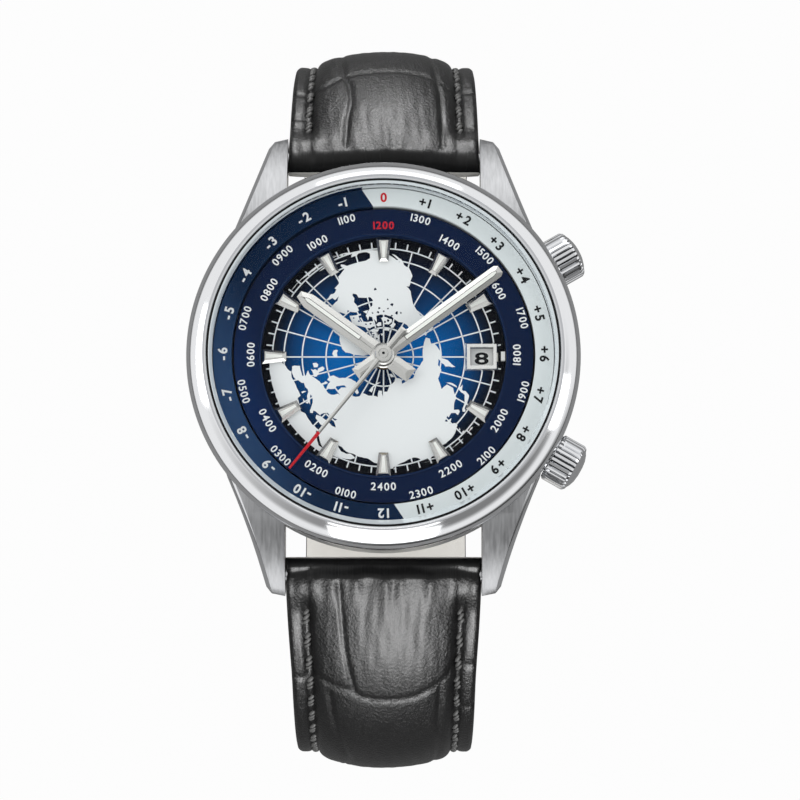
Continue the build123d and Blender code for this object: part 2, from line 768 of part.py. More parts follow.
minute_wheel_place = polar_point(minute_wheel_reach, minute_wheel_angle)
with BuildPart() as minute_wheel:
    with BuildSketch(Plane.XY.offset(wheel_level)):
        with Locations(minute_wheel_place):
            Circle(minute_wheel_radius)
    extrude(amount=motion_wheel_thickness)
    with BuildSketch(Plane.XY.offset(wheel_level)):
        with Locations(minute_wheel_place):
            Circle(minute_pinion_radius)
    extrude(amount=2 * motion_wheel_thickness + running_gap)
finish(minute_wheel, "minute_wheel")

with BuildPart() as hour_wheel:
    with BuildSketch(Plane.XY.offset(upper_level)):
        Circle(hour_wheel_radius)
        Circle(hour_pipe_bore, mode=Mode.SUBTRACT)
    extrude(amount=motion_wheel_thickness)
    with BuildSketch(Plane.XY.offset(upper_level)):
        Circle(hour_pipe_radius)
        Circle(hour_pipe_bore, mode=Mode.SUBTRACT)
    extrude(amount=hour_hand_bottom - upper_level)
finish(hour_wheel, "hour_wheel")

with BuildPart() as seconds_arbor:
    with BuildSketch(Plane.XY.offset(plate_bottom + running_gap)):
        Circle(seconds_arbor_radius)
    extrude(amount=seconds_hand_bottom - plate_bottom - running_gap)
finish(seconds_arbor, "seconds_arbor")

# Date disc between the main plate and the dial
disc_inner = date_reach - date_disc_band / 2
disc_outer = date_reach + date_disc_band / 2
with BuildPart() as date_disc:
    with BuildSketch(Plane.XY.offset(plate_top + running_gap)):
        Circle(disc_outer)
        Circle(disc_inner, mode=Mode.SUBTRACT)
    extrude(amount=date_disc_thickness)
finish(date_disc, "date_disc")

# Dial, number ring and trim ring
with BuildPart() as dial:
    with BuildSketch(Plane.XY.offset(dial_bottom)):
        Circle(dial_radius)
        Circle(dial_hole_radius, mode=Mode.SUBTRACT)
        with Locations((date_reach, 0)):
            Rectangle(date_window_length, date_window_width, mode=Mode.SUBTRACT)
    extrude(amount=dial_thickness)
finish(dial, "dial")

with BuildPart() as number_ring:
    with BuildSketch(Plane.XY.offset(dial_top)):
        Circle(dial_radius)
        Circle(number_ring_inner_radius, mode=Mode.SUBTRACT)
    extrude(amount=number_ring_height)
finish(number_ring, "number_ring")

with BuildPart() as trim_ring:
    with BuildSketch(Plane.XY.offset(dial_top)):
        Circle(number_ring_inner_radius)
        Circle(number_ring_inner_radius - trim_ring_width, mode=Mode.SUBTRACT)
    extrude(amount=number_ring_height + trim_ring_height)
finish(trim_ring, "trim_ring")

# Applied hour markers: batons at every hour but 3, and a small block outside the date
marker_side_angle = degrees(atan2(marker_length, (marker_outer_width - marker_inner_width) / 2))
with BuildPart() as hour_markers:
    with BuildSketch(Plane.XY.offset(dial_top)):
        with PolarLocations(marker_middle, 11, start_angle=30, angular_range=300, endpoint=True):
            Trapezoid(marker_outer_width, marker_length, marker_side_angle, rotation=90)
    extrude(amount=marker_height - marker_bevel_height)
    with BuildSketch(Plane.XY.offset(dial_top + marker_height - marker_bevel_height)):
        with PolarLocations(marker_middle, 11, start_angle=30, angular_range=300, endpoint=True):
            Trapezoid(marker_outer_width, marker_length, marker_side_angle, rotation=90)
    extrude(amount=marker_bevel_height, taper=marker_bevel_angle)
finish(hour_markers, "hour_markers")

with BuildPart() as three_marker:
    with BuildSketch(Plane.XY.offset(dial_top)):
        with Locations((marker_outer_reach - three_marker_length / 2, 0)):
            Rectangle(three_marker_length, three_marker_width)
    extrude(amount=marker_height)
finish(three_marker, "three_marker")

with BuildPart() as date_frame:
    with BuildSketch(Plane.XY.offset(dial_top)):
        with Locations((date_reach, 0)):
            Rectangle(date_frame_length, date_frame_width)
    extrude(amount=date_frame_height, taper=date_frame_taper)
    with BuildSketch(Plane.XY.offset(dial_top)):
        with Locations((date_reach, 0)):
            Rectangle(date_window_length, date_window_width)
    extrude(amount=date_frame_height, mode=Mode.SUBTRACT)
finish(date_frame, "date_frame")


def hand_outline(length, width, point, tail):
    """Outline of a baton hand along X, with a blunt point and a square tail."""
    half = width / 2
    tip = hand_tip_share * half
    return [(-tail, -half), (length - point, -half), (length, -tip), (length, tip), (length - point, half), (-tail, half)]


# Hour and minute hands: bevelled batons on a round hub
hand_data = (
    ("hour_hand", hour_angle, hour_hand_bottom, hour_hand_length, hour_hand_width, hour_hand_point,
     hour_hub_radius, cannon_radius + running_gap),
    ("minute_hand", minute_angle, minute_hand_bottom, minute_hand_length, minute_hand_width, minute_hand_point,
     minute_hub_radius, cannon_bore),
)
for name, angle, bottom, length, width, point, hub_radius, hole_radius in hand_data:
    outline = hand_outline(length, width, point, hand_tail)
    bevel_bottom = bottom + hand_thickness - hand_bevel_height
    with BuildPart() as hand:
        with BuildSketch(dial_plane(angle, bottom)):
            with BuildLine():
                Polyline(*outline, close=True)
            make_face()
        extrude(amount=hand_thickness - hand_bevel_height)
        with BuildSketch(dial_plane(angle, bevel_bottom)):
            with BuildLine():
                Polyline(*outline, close=True)
            make_face()
        extrude(amount=hand_bevel_height, taper=hand_bevel_angle)
        with BuildSketch(dial_plane(angle, bottom)):
            Circle(hub_radius)
        extrude(amount=hand_thickness)
        with BuildSketch(dial_plane(angle, bottom)):
            Circle(hole_radius)
        extrude(amount=hand_thickness, mode=Mode.SUBTRACT)
    finish(hand, name)

# Seconds hand: a thin needle with a wider tail and a round hub
with BuildPart() as seconds_hand:
    with BuildSketch(dial_plane(seconds_angle, seconds_hand_bottom)):
        with Locations((seconds_hand_length / 2, 0)):
            Rectangle(seconds_hand_length, seconds_hand_width)
        with Locations((-seconds_tail / 2, 0)):
            Rectangle(seconds_tail, seconds_tail_width)
        Circle(seconds_hub_radius)
    extrude(amount=seconds_hand_thickness)
    with BuildSketch(dial_plane(seconds_angle, seconds_hand_top)):
        Circle(seconds_hub_radius / 2)
    extrude(amount=seconds_hub_height)
finish(seconds_hand, "seconds_hand")

# Strap: each half hangs from its spring bar and follows a path along its skin side
strap_width = lug_gap - 2 * strap_side_gap
strap_tip_width = strap_width - strap_taper
strap_swell_reach = spring_bar_reach + strap_swell_out
long_strap_drop = short_strap_drop + long_strap_step
swell_rise = spring_bar_height + strap_swell_drop
swell_angle = 2 * atan((strap_swell_reach + strap_roll_radius - spring_bar_reach) / swell_rise)
upper_arc_radius = swell_rise / sin(swell_angle) - strap_roll_radius
upper_arc_degrees = degrees(swell_angle)


def strap_path(side, drop, flat):
    """Skin-side line of a strap half in the YZ plane: two arcs and a straight end."""
    lower_radius = drop - strap_swell_drop
    middle = strap_swell_reach - lower_radius
    with BuildLine(Plane.YZ) as path:
        CenterArc(
            (side * (strap_swell_reach - upper_arc_radius), -strap_swell_drop),
            upper_arc_radius,
            90 - side * (90 - upper_arc_degrees),
            -side * upper_arc_degrees,
        )
        CenterArc((side * middle, -strap_swell_drop), lower_radius, 90 - side * 90, -side * 90)
        Line((side * middle, -drop), (side * (middle - flat), -drop))
    return path.wires()[0]


def path_plane(path, distance, side):
    """Plane square to a strap path, X across the strap and Y towards its outer side."""
    place = path.position_at(distance, position_mode=PositionMode.LENGTH)
    along = path.tangent_at(distance, position_mode=PositionMode.LENGTH)
    return Plane(origin=place, x_dir=(-side, 0, 0), z_dir=along)


def strap_outline(width, edge, centre):
    """Half-padded section of a strap: flat margins with a raised middle."""
    flat = width / 2 - strap_flat_margin * width / strap_width
    top = flat - strap_pad_slope * width / strap_width
    right = [(width / 2, 0), (width / 2, edge), (flat, edge), (top, centre)]
    return right + [(-x, y) for x, y in reversed(right)]


def strap_sizes(share):
    """Width, margin and pad thickness: the pad keeps its thickness first, then tapers."""
    taper = max(share - strap_pad_share, 0) / (1 - strap_pad_share)
    width = strap_width + (strap_tip_width - strap_width) * share
    edge = strap_edge_thickness + (strap_tip_edge - strap_edge_thickness) * share
    centre = strap_centre_thickness + (strap_tip_centre - strap_centre_thickness) * taper
    return width, edge, centre


def strap_sections(side, path, length, tip):
    """Sections of a strap half along its path, with a narrowed tip where tip is its length."""
    sections = []
    body_length = length - tip
    steps = max(3, round(body_length / strap_section_step))
    stations = [(body_length * k / steps, 1.0) for k in range(steps + 1)]
    if tip:
        stations += [(body_length + tip * along, wide) for along, wide in strap_tip_shares]
    for distance, wide in stations:
        width, edge, centre = strap_sizes(distance / length)
        with BuildSketch(path_plane(path, distance, side)) as section:
            with BuildLine():
                Polyline(*strap_outline(width * wide, edge, centre), close=True)
            make_face()
        sections.append(section.sketch)
    return sections


short_path = strap_path(1, short_strap_drop, short_strap_flat)
long_path = strap_path(-1, long_strap_drop, long_strap_flat)
short_strap_length = short_path.length
long_strap_length = long_path.length
short_end = path_plane(short_path, short_strap_length, 1)
end_roll = strap_tip_centre / 2
buckle_place = short_end.origin + short_end.y_dir * end_roll
notch_width = tongue_width + 2 * tongue_notch_gap
short_sections = strap_sections(1, short_path, short_strap_length, 0)
long_sections = strap_sections(-1, long_path, long_strap_length, strap_tip_length)

# Strap half at 12 o'clock, with the buckle end rolled round the buckle bar
with BuildPart() as strap_upper:
    loft(sections=short_sections, ruled=True)
    with BuildSketch(Plane.YZ):
        with Locations((spring_bar_reach, spring_bar_height)):
            Circle(strap_roll_radius)
    extrude(amount=strap_width / 2, both=True)
    with BuildSketch(Plane.YZ):
        with Locations((buckle_place.Y, buckle_place.Z)):
            Circle(end_roll)
    extrude(amount=strap_tip_width / 2, both=True)
    with BuildSketch(Plane.YZ):
        with Locations((spring_bar_reach, spring_bar_height)):
            Circle(spring_bar_radius + running_gap)
        with Locations((buckle_place.Y, buckle_place.Z)):
            Circle(buckle_bar_radius + running_gap)
    extrude(amount=strap_width, both=True, mode=Mode.SUBTRACT)
    with BuildSketch(Plane.XY.offset(buckle_place.Z)):
        with Locations((0, buckle_place.Y)):
            Rectangle(notch_width, 2 * tongue_notch_length)
    extrude(amount=strap_centre_thickness, both=True, mode=Mode.SUBTRACT)
finish(strap_upper, "strap_upper")

# Strap half at 6 o'clock, with its adjustment holes and a pointed tip
with BuildPart() as strap_lower:
    loft(sections=long_sections, ruled=True)
    with BuildSketch(Plane.YZ):
        with Locations((-spring_bar_reach, spring_bar_height)):
            Circle(strap_roll_radius)
    extrude(amount=strap_width / 2, both=True)
    with BuildSketch(Plane.YZ):
        with Locations((-spring_bar_reach, spring_bar_height)):
            Circle(spring_bar_radius + running_gap)
    extrude(amount=strap_width, both=True, mode=Mode.SUBTRACT)
    for number in range(strap_hole_count):
        distance = long_strap_length - strap_hole_first - number * strap_hole_pitch
        station = path_plane(long_path, distance, -1)
        with BuildSketch(Plane(origin=station.origin, x_dir=station.x_dir, z_dir=station.y_dir)):
            Circle(strap_hole_radius)
        extrude(amount=strap_centre_thickness, both=True, mode=Mode.SUBTRACT)
finish(strap_lower, "strap_lower")

# Keepers: leather loops round the 12 o'clock half, with room for the other half
keeper_half = strap_width / 2 + soft_gap
keeper_low = -soft_gap
keeper_share = 1 - free_keeper_back / short_strap_length
keeper_high = strap_sizes(keeper_share)[2] + strap_tip_centre + 2 * soft_gap
for back, name in ((fixed_keeper_back, "keeper_fixed"), (free_keeper_back, "keeper_free")):
    with BuildPart() as keeper:
        with BuildSketch(path_plane(short_path, short_strap_length - back, 1)):
            with Locations((0, (keeper_low + keeper_high) / 2)):
                RectangleRounded(
                    2 * (keeper_half + keeper_wall),
                    keeper_high - keeper_low + 2 * keeper_wall,
                    0.9 * keeper_wall,
                )
                Rectangle(2 * keeper_half, keeper_high - keeper_low, mode=Mode.SUBTRACT)
        extrude(amount=keeper_width / 2, both=True)
    finish(keeper, name)

# Buckle: a rounded frame with two arms to its bar, and a tongue that rests on the frame
frame_half = strap_tip_width / 2 + buckle_side_gap
frame_outer = frame_half + buckle_frame_width
frame_far = buckle_inner_length + buckle_frame_width
buckle_plane = Plane(origin=buckle_place, x_dir=(1, 0, 0), z_dir=(0, 0, 1))
with BuildPart() as buckle_frame:
    with BuildSketch(buckle_plane) as frame_plan:
        with Locations((0, -frame_far / 2)):
            Rectangle(2 * frame_outer, frame_far)
        far_corners = frame_plan.vertices().group_by(Axis.Y)[0]
        fillet(far_corners, radius=buckle_corner)
        with Locations((0, -buckle_inner_length / 2)):
            Rectangle(2 * frame_half, buckle_inner_length, mode=Mode.SUBTRACT)
    extrude(amount=buckle_frame_thickness / 2, both=True)
    with BuildSketch(Plane.YZ):
        with Locations((buckle_place.Y, buckle_place.Z)):
            Circle(buckle_ear_radius)
    extrude(amount=frame_outer, both=True)
    with BuildSketch(Plane.YZ):
        with Locations((buckle_place.Y, buckle_place.Z)):
            Circle(buckle_ear_radius + running_gap)
    extrude(amount=frame_half, both=True, mode=Mode.SUBTRACT)
    with BuildSketch(Plane.YZ):
        with Locations((buckle_place.Y, buckle_place.Z)):
            Circle(buckle_bar_radius)
    extrude(amount=frame_half + buckle_frame_width / 2, both=True, mode=Mode.SUBTRACT)
finish(buckle_frame, "buckle_frame")

with BuildPart() as buckle_bar:
    with BuildSketch(Plane.YZ):
        with Locations((buckle_place.Y, buckle_place.Z)):
            Circle(buckle_bar_radius)
    extrude(amount=frame_half + buckle_frame_width / 2, both=True)
finish(buckle_bar, "buckle_bar")

tongue_ring_radius = buckle_bar_radius + running_gap + tongue_ring_wall
tongue_rest = -(buckle_frame_thickness / 2 + running_gap)
tongue_far = frame_far + tongue_overhang
with BuildPart() as buckle_tongue:
    with BuildSketch(Plane.YZ.shift_origin(buckle_place)):
        with BuildLine():
            Polyline(
                (0, -tongue_ring_radius),
                (0, -tongue_ring_radius + tongue_thickness),
                (-buckle_inner_length, tongue_rest),
                (-tongue_far, tongue_rest),
                (-tongue_far, tongue_rest - 0.6 * tongue_thickness),
                (-buckle_inner_length, tongue_rest - tongue_thickness),
                close=True,
            )
        make_face()
        Circle(tongue_ring_radius)
        Circle(buckle_bar_radius + running_gap, mode=Mode.SUBTRACT)
    extrude(amount=tongue_width / 2, both=True)
finish(buckle_tongue, "buckle_tongue")
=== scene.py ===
import math
import random

import bpy
import numpy as np
from mathutils import Matrix, Vector


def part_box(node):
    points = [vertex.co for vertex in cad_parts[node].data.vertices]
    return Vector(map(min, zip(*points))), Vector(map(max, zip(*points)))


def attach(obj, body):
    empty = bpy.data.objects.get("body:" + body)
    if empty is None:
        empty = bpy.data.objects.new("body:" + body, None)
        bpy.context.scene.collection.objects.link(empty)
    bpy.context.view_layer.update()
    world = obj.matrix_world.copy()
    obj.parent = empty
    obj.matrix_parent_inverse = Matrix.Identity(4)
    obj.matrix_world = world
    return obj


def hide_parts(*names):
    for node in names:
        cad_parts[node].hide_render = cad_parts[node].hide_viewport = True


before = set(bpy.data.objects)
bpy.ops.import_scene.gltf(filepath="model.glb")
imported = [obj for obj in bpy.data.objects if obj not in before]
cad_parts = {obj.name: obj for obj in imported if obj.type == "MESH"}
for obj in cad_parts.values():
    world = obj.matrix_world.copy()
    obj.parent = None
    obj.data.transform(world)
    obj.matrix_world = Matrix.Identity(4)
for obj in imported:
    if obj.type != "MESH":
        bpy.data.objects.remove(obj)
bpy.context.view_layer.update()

random.seed(12)
for spare in ("Cube", "Light", "Camera"):
    if spare in bpy.data.objects:
        bpy.data.objects.remove(bpy.data.objects[spare])
print("frame loaded")


# Sizes are written in millimetres and Blender works in metres.
def mm(*values):
    scaled = [value / 1000 for value in values]
    return scaled[0] if len(scaled) == 1 else Vector(scaled)


def linearColour(hexCode):
    channels = [int(hexCode[i:i + 2], 16) / 255 for i in (1, 3, 5)]
    return [c / 12.92 if c <= 0.04045 else ((c + 0.055) / 1.055) ** 2.4 for c in channels] + [1.0]


def smooth(value, low, high):
    share = np.clip((value - low) / (high - low), 0, 1)
    return share * share * (3 - 2 * share)


def between(pair, share):
    return pair[0] + (pair[1] - pair[0]) * share


# Adding, selecting, applying and finishing pieces

def addPiece(button, name, **settings):
    bpy.ops.object.select_all(action="DESELECT")
    button(**settings)
    piece = bpy.context.active_object
    piece.name = name
    return piece


def addCopy(mesh, name):
    piece = bpy.data.objects.new(name, mesh.copy())
    bpy.context.scene.collection.objects.link(piece)
    return piece


def selectOnly(*pieces):
    bpy.ops.object.select_all(action="DESELECT")
    for piece in pieces:
        piece.select_set(True)
    bpy.context.view_layer.objects.active = pieces[0]


def editAll(piece):
    selectOnly(piece)
    bpy.ops.object.mode_set(mode="EDIT")
    bpy.ops.mesh.select_all(action="SELECT")


def backToObject(outwards=True):
    if outwards:
        bpy.ops.mesh.select_all(action="SELECT")
        bpy.ops.mesh.normals_make_consistent(inside=False)
    bpy.ops.object.mode_set(mode="OBJECT")


def applyPlace(piece):
    selectOnly(piece)
    bpy.ops.object.transform_apply(location=True, rotation=True, scale=True)


def applyModifiers(piece):
    selectOnly(piece)
    for modifier in list(piece.modifiers):
        bpy.ops.object.modifier_apply(modifier=modifier.name)


def joinAll(pieces, name):
    selectOnly(*pieces)
    if len(pieces) > 1:
        bpy.ops.object.join()
    joined = bpy.context.view_layer.objects.active
    joined.name = name
    return joined


def smoothShade(piece, angle):
    selectOnly(piece)
    bpy.ops.object.shade_smooth_by_angle(angle=math.radians(angle))


def dress(piece, body, slot, *materials):
    if materials:
        piece.data.materials.clear()
    for material in materials:
        piece.data.materials.append(material)
    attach(piece, body)


# A ring-shaped piece: its outline (radius, height) is turned once round Z.
def turnPiece(name, outline, steps):
    piece = addPiece(bpy.ops.mesh.primitive_circle_add, name, vertices=len(outline), radius=0.001)
    for vertex, (radius, height) in zip(piece.data.vertices, outline):
        vertex.co = mm(radius, 0, height)
    editAll(piece)
    bpy.ops.mesh.spin(steps=steps, angle=math.tau, center=(0, 0, 0), axis=(0, 0, 1))
    bpy.ops.mesh.select_all(action="SELECT")
    bpy.ops.mesh.remove_doubles(threshold=1e-6)
    backToObject()
    return piece


# A flat face cut to an outline (x, y) at a height, then raised by its thickness. With a facet its top
# edge slopes.
def cutPiece(name, outline, height, thickness, facet=0, rise=0):
    face = {"vertices": len(outline), "radius": 0.001, "fill_type": "NGON"}
    piece = addPiece(bpy.ops.mesh.primitive_circle_add, name, **face)
    for vertex, (x, y) in zip(piece.data.vertices, outline):
        vertex.co = mm(x, y, height)
    editAll(piece)
    bpy.ops.mesh.extrude_region_move(TRANSFORM_OT_translate={"value": (0, 0, thickness / 1000)})
    if facet:
        bpy.ops.mesh.inset(thickness=facet / 1000, depth=rise / 1000)
    backToObject()
    return piece


# A copy of a CAD node's mesh with its loose triangles merged, and small bevels on its sharp edges.
def copyNode(node, name, bevel, segments, sharp):
    piece = addCopy(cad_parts[node].data, name)
    editAll(piece)
    bpy.ops.mesh.customdata_custom_splitnormals_clear()
    bpy.ops.mesh.remove_doubles(threshold=2e-6)
    bpy.ops.mesh.dissolve_limited(angle_limit=math.radians(0.5))
    backToObject(outwards=False)
    modifier = piece.modifiers.new("edges", "BEVEL")
    modifier.width = bevel / 1000
    modifier.segments = segments
    modifier.limit_method = "ANGLE"
    modifier.angle_limit = math.radians(sharp)
    applyModifiers(piece)
    smoothShade(piece, sharp)
    return piece


def cutAway(piece, cutters):
    tool = joinAll(cutters, "cutter")
    modifier = piece.modifiers.new("cut", "BOOLEAN")
    modifier.operation = "DIFFERENCE"
    modifier.solver = "EXACT"
    modifier.object = tool
    applyModifiers(piece)
    bpy.data.objects.remove(tool)


def boxCutter(centre, size):
    box = addPiece(bpy.ops.mesh.primitive_cube_add, "box", size=1, location=centre)
    box.scale = size
    applyPlace(box)
    return box


def rodCutter(radius, place, axis, depth):
    size = {"vertices": 24, "radius": radius / 1000, "depth": depth / 1000}
    rod = addPiece(bpy.ops.mesh.primitive_cylinder_add, "rod", **size)
    rod.rotation_euler = Vector(axis).to_track_quat("Z", "Y").to_euler()
    rod.location = mm(*place)
    applyPlace(rod)
    return rod


def turnToClock(piece, clockAngle):
    piece.rotation_euler = (0, 0, math.radians(90 - clockAngle))
    applyPlace(piece)


# Materials

# A setting is a number, a colour, or another node or output, which is joined to that input.
def addNode(material, kind, settings):
    node = material.node_tree.nodes.new("ShaderNode" + kind)
    for key, value in settings.items():
        value = value.outputs[0] if isinstance(value, bpy.types.Node) else value
        if isinstance(value, bpy.types.NodeSocket):
            material.node_tree.links.new(value, node.inputs[key])
        elif isinstance(key, int) or key in node.inputs:
            node.inputs[key].default_value = value
        else:
            setattr(node, key, value)
    return node


def newMaterial(name, settings):
    material = bpy.data.materials.new(name)
    material.use_nodes = True
    shader = material.node_tree.nodes["Principled BSDF"]
    for socket, value in settings.items():
        shader.inputs[socket].default_value = value
    return material, shader


def drive(material, source, shader, socket):
    material.node_tree.links.new(source, shader.inputs[socket])


soft = {"interpolation_type": "SMOOTHSTEP"}


# Grain or fine parallel scratches: noise stretched along one axis, used for roughness and bump. The scale
# counts lines per metre, so 3600 is about 0.28 mm from line to line, a little coarser than real so that
# it shows.
def addGrain(material, shader, scale, rough, bump):
    place = addNode(material, "TexCoord", {})
    stretch = addNode(material, "Mapping", {"Scale": scale, "Vector": place.outputs["Object"]})
    noise = addNode(material, "TexNoise", {"Scale": 1.0, "Detail": 3.0, "Vector": stretch})
    spread = addNode(material, "MapRange", {0: noise, 3: rough[0], 4: rough[1]})
    height = addNode(material, "Bump", {"Strength": bump[0], "Distance": bump[1], "Height": noise})
    drive(material, spread.outputs[0], shader, "Roughness")
    drive(material, height.outputs[0], shader, "Normal")
    return noise


def grained(name, colour, settings, scale, rough, bump, streak):
    material, shader = newMaterial(name, {"Base Color": linearColour(colour), **settings})
    noise = addGrain(material, shader, scale, rough, bump)
    if streak:
        # the grain also shows as lighter and darker lines
        dark = [c * (1 - streak) for c in linearColour(colour)[:3]] + [1.0]
        tint = addNode(material, "Mix", {"data_type": "RGBA", 0: noise, 6: dark, 7: linearColour(colour)})
        drive(material, tint.outputs[2], shader, "Base Color")
    return material


def metal(name, colour, scale, rough, bump, streak=0.0):
    return grained(name, colour, {"Metallic": 1.0}, scale, rough, bump, streak)


def coated(name, colour, rough, scale, bump, speckle):
    return grained(name, colour, {"Specular IOR Level": 0.15}, (scale, scale, scale), rough, bump, speckle)


# Stainless steel, brushed along the strap: long fine lines that spread the light sideways.
brushedSteel = metal("stainless_steel_brushed", "#C8C9CB", (3600, 160, 1500), (0.26, 0.46), (0.5, 0.00004),
                     0.55)
# Stainless steel, turned: rings round the axis are too fine to show, so a fine even grain.
turnedSteel = metal("stainless_steel_turned", "#C4C5C7", (5200, 5200, 700), (0.22, 0.36), (0.2, 0.00002))
# Stainless steel, mirror polished: clear reflections with faint wiping marks.
polishedSteel = metal("stainless_steel_polished", "#E4E5E7", (240, 300, 240), (0.05, 0.11), (0.05, 0.00002))
# Rhodium plated brass, diamond cut: flat bright facets.
cutRhodium = metal("rhodium_plate_cut", "#D3D2CF", (2400, 2400, 2400), (0.14, 0.22), (0.03, 0.00001))
# Rhodium plating of the date frame, painted paler than the facets: a lit copy of the rhodium, a painted
# highlight.
frameRhodiumPaintedBright = metal("rhodium_satin_painted_highlight", "#F2F2F0", (2400, 2400, 2400), (0.14, 0.22), (0.03, 0.00001))
# The grooves of the crowns are painted dark: painted shade in the grooves.
grooveShadeSteel = metal("steel_painted_groove_shade", "#3A3B3D", (3000, 3000, 3000), (0.35, 0.5), (0.2, 0.00002))
# Nickel plated brass, bead blasted: a dull even grey.
blastedNickel = metal("nickel_plate_blasted", "#A9A8A4", (6000, 6000, 6000), (0.35, 0.5), (0.3, 0.00002))
# Brass wheels, circular grained.
grainedBrass = metal("brass_grained", "#C9A457", (7000, 2500, 7000), (0.28, 0.42), (0.2, 0.00002))

# Pad printed lacquer: flat colour with a very fine tooth.
whitePrint = coated("lacquer_print_white", "#ECEFF0", (0.45, 0.6), 4000, (0.05, 0.00001), 0.05)
gridPrint = coated("lacquer_print_grid", "#E4E9EC", (0.45, 0.6), 4000, (0.05, 0.00001), 0.05)
blackPrint = coated("lacquer_print_black", "#14161A", (0.4, 0.55), 4000, (0.05, 0.00001), 0.1)
redPrint = coated("lacquer_print_red", "#D2222E", (0.4, 0.55), 4000, (0.05, 0.00001), 0.1)
# Enamel: the seconds hand's glossy red tip, and the white of the date disc.
redPaint = coated("enamel_paint_red", "#C1202B", (0.25, 0.4), 900, (0.05, 0.00001), 0.1)
dateWhite = coated("enamel_paint_white", "#FDFDFB", (0.4, 0.55), 3000, (0.05, 0.00001), 0.05)
# Luminous paint: chalky off-white with a fine grain.
lumePaint = coated("luminous_paint", "#F4F5F0", (0.6, 0.8), 9000, (0.2, 0.00001), 0.06)
# Nitrile seals and the moulded acetal ring round the movement: dull, with a fine tooth.
sealRubber = coated("nitrile_rubber_moulded", "#1B1A19", (0.5, 0.7), 2500, (0.1, 0.00002), 0.2)
spacerPlastic = coated("acetal_moulded", "#26272A", (0.45, 0.6), 1800, (0.1, 0.00002), 0.2)
print("metals and lacquers ready")


# Dial lacquer over a sunray ground, fading to near black at the edge. The bright blue towards 3 and 9
# o'clock, dimming towards 12 and 6, is a painted highlight: the sheen of the sunray finish painted into the
# colour. The rays are fine lines that all point to the centre, about 1 degree apart.
def makeDialLacquer():
    material, shader = newMaterial("dial_sunray_lacquer_painted_sheen", {"Roughness": 0.42, "Specular IOR Level": 0.05})
    place = addNode(material, "TexCoord", {}).outputs["Object"]
    flat = addNode(material, "VectorMath", {"operation": "MULTIPLY", 0: place, 1: (1000, 1000, 0)})
    reach = addNode(material, "VectorMath", {"operation": "LENGTH", 0: flat}).outputs["Value"]
    turned = addNode(material, "VectorMath", {"operation": "NORMALIZE", 0: flat})
    across = addNode(material, "SeparateXYZ", {0: turned})
    sideways = addNode(material, "Math", {"operation": "ABSOLUTE", 0: across})
    # painted highlight: bright towards 3 and 9 o'clock, faded towards the edge and broken into rays
    lobe = addNode(material, "MapRange", {0: sideways, 1: 0.3, 2: 1.0, **soft})
    rim = addNode(material, "MapRange", {0: reach, 1: 3.5, 2: 12.6, 3: 1.0, 4: 0.12, **soft})
    rays = addNode(material, "TexNoise", {"Scale": 60.0, "Detail": 2.0, "Vector": turned})
    rayShare = addNode(material, "MapRange", {0: rays, 3: 0.72, 4: 1.25})
    glow = addNode(material, "Math", {"operation": "MULTIPLY", 0: lobe, 1: rim})
    lit = addNode(material, "Math", {"operation": "MULTIPLY", 0: glow, 1: rayShare})
    paintedSheenBlues = {6: linearColour("#071731"), 7: linearColour("#0062AE")}
    blue = addNode(material, "Mix", {"data_type": "RGBA", 0: lit, **paintedSheenBlues})
    edge = addNode(material, "MapRange", {0: reach, 1: 9.5, 2: 12.9, **soft})
    edged = {0: edge, 6: blue.outputs[2], 7: linearColour("#04070F")}
    colour = addNode(material, "Mix", {"data_type": "RGBA", **edged})
    drive(material, colour.outputs[2], shader, "Base Color")
    return material


# Ring lacquer: fine turned grain, with a painted highlight that makes it a little lighter towards the left,
# where the ground catches the light. With a pale colour the ring is pale on its right half, parted from the
# navy one by two slanted lines.
def makeRingLacquer(name, dark, light, pale=None):
    material, shader = newMaterial(name, {"Roughness": 0.35, "Specular IOR Level": 0.07})
    noise = addGrain(material, shader, (1800, 1800, 1800), (0.3, 0.42), (0.05, 0.00001))
    place = addNode(material, "TexCoord", {}).outputs["Object"]
    # painted highlight: the colour runs from dark on the right to light on the left, as if lit from the left
    towardsPaintedLight = addNode(material, "VectorMath", {"operation": "DOT_PRODUCT", 0: place, 1: (-0.94, -0.34, 0)})
    side = addNode(material, "MapRange", {0: towardsPaintedLight.outputs["Value"], 1: 0.011, 2: 0.019, **soft})
    paintedLightNavies = {0: side, 6: linearColour(dark), 7: linearColour(light)}
    tint = addNode(material, "Mix", {"data_type": "RGBA", **paintedLightNavies})
    speckled = {"blend_type": "MULTIPLY", 0: 0.12, 6: tint.outputs[2], 7: noise.outputs[1]}
    colour = addNode(material, "Mix", {"data_type": "RGBA", **speckled})
    if pale:
        parts = addNode(material, "SeparateXYZ", {0: place})
        across = addNode(material, "VectorMath",
                         {"operation": "DOT_PRODUCT", 0: place, 1: (836.6, 548.0, 0)})
        half = addNode(material, "Math", {"operation": "SIGN", 0: parts.outputs[1]})
        border = addNode(material, "Math", {"operation": "MULTIPLY", 0: half, 1: 8.277})
        inPale = {"operation": "GREATER_THAN", 0: across.outputs["Value"], 1: border}
        share = addNode(material, "Math", inPale)
        halves = {0: share, 6: colour.outputs[2], 7: linearColour(pale)}
        colour = addNode(material, "Mix", {"data_type": "RGBA", **halves})
    drive(material, colour.outputs[2], shader, "Base Color")
    return material


dialLacquer = makeDialLacquer()
ringNavy = makeRingLacquer("ring_lacquer_navy", "#03183B", "#0A2B5C")
trimNavy = makeRingLacquer("trim_lacquer_navy", "#10264A", "#2A426A")
zoneLacquer = makeRingLacquer("ring_lacquer_two_tone", "#052242", "#2B4A73", "#E2E9EA")


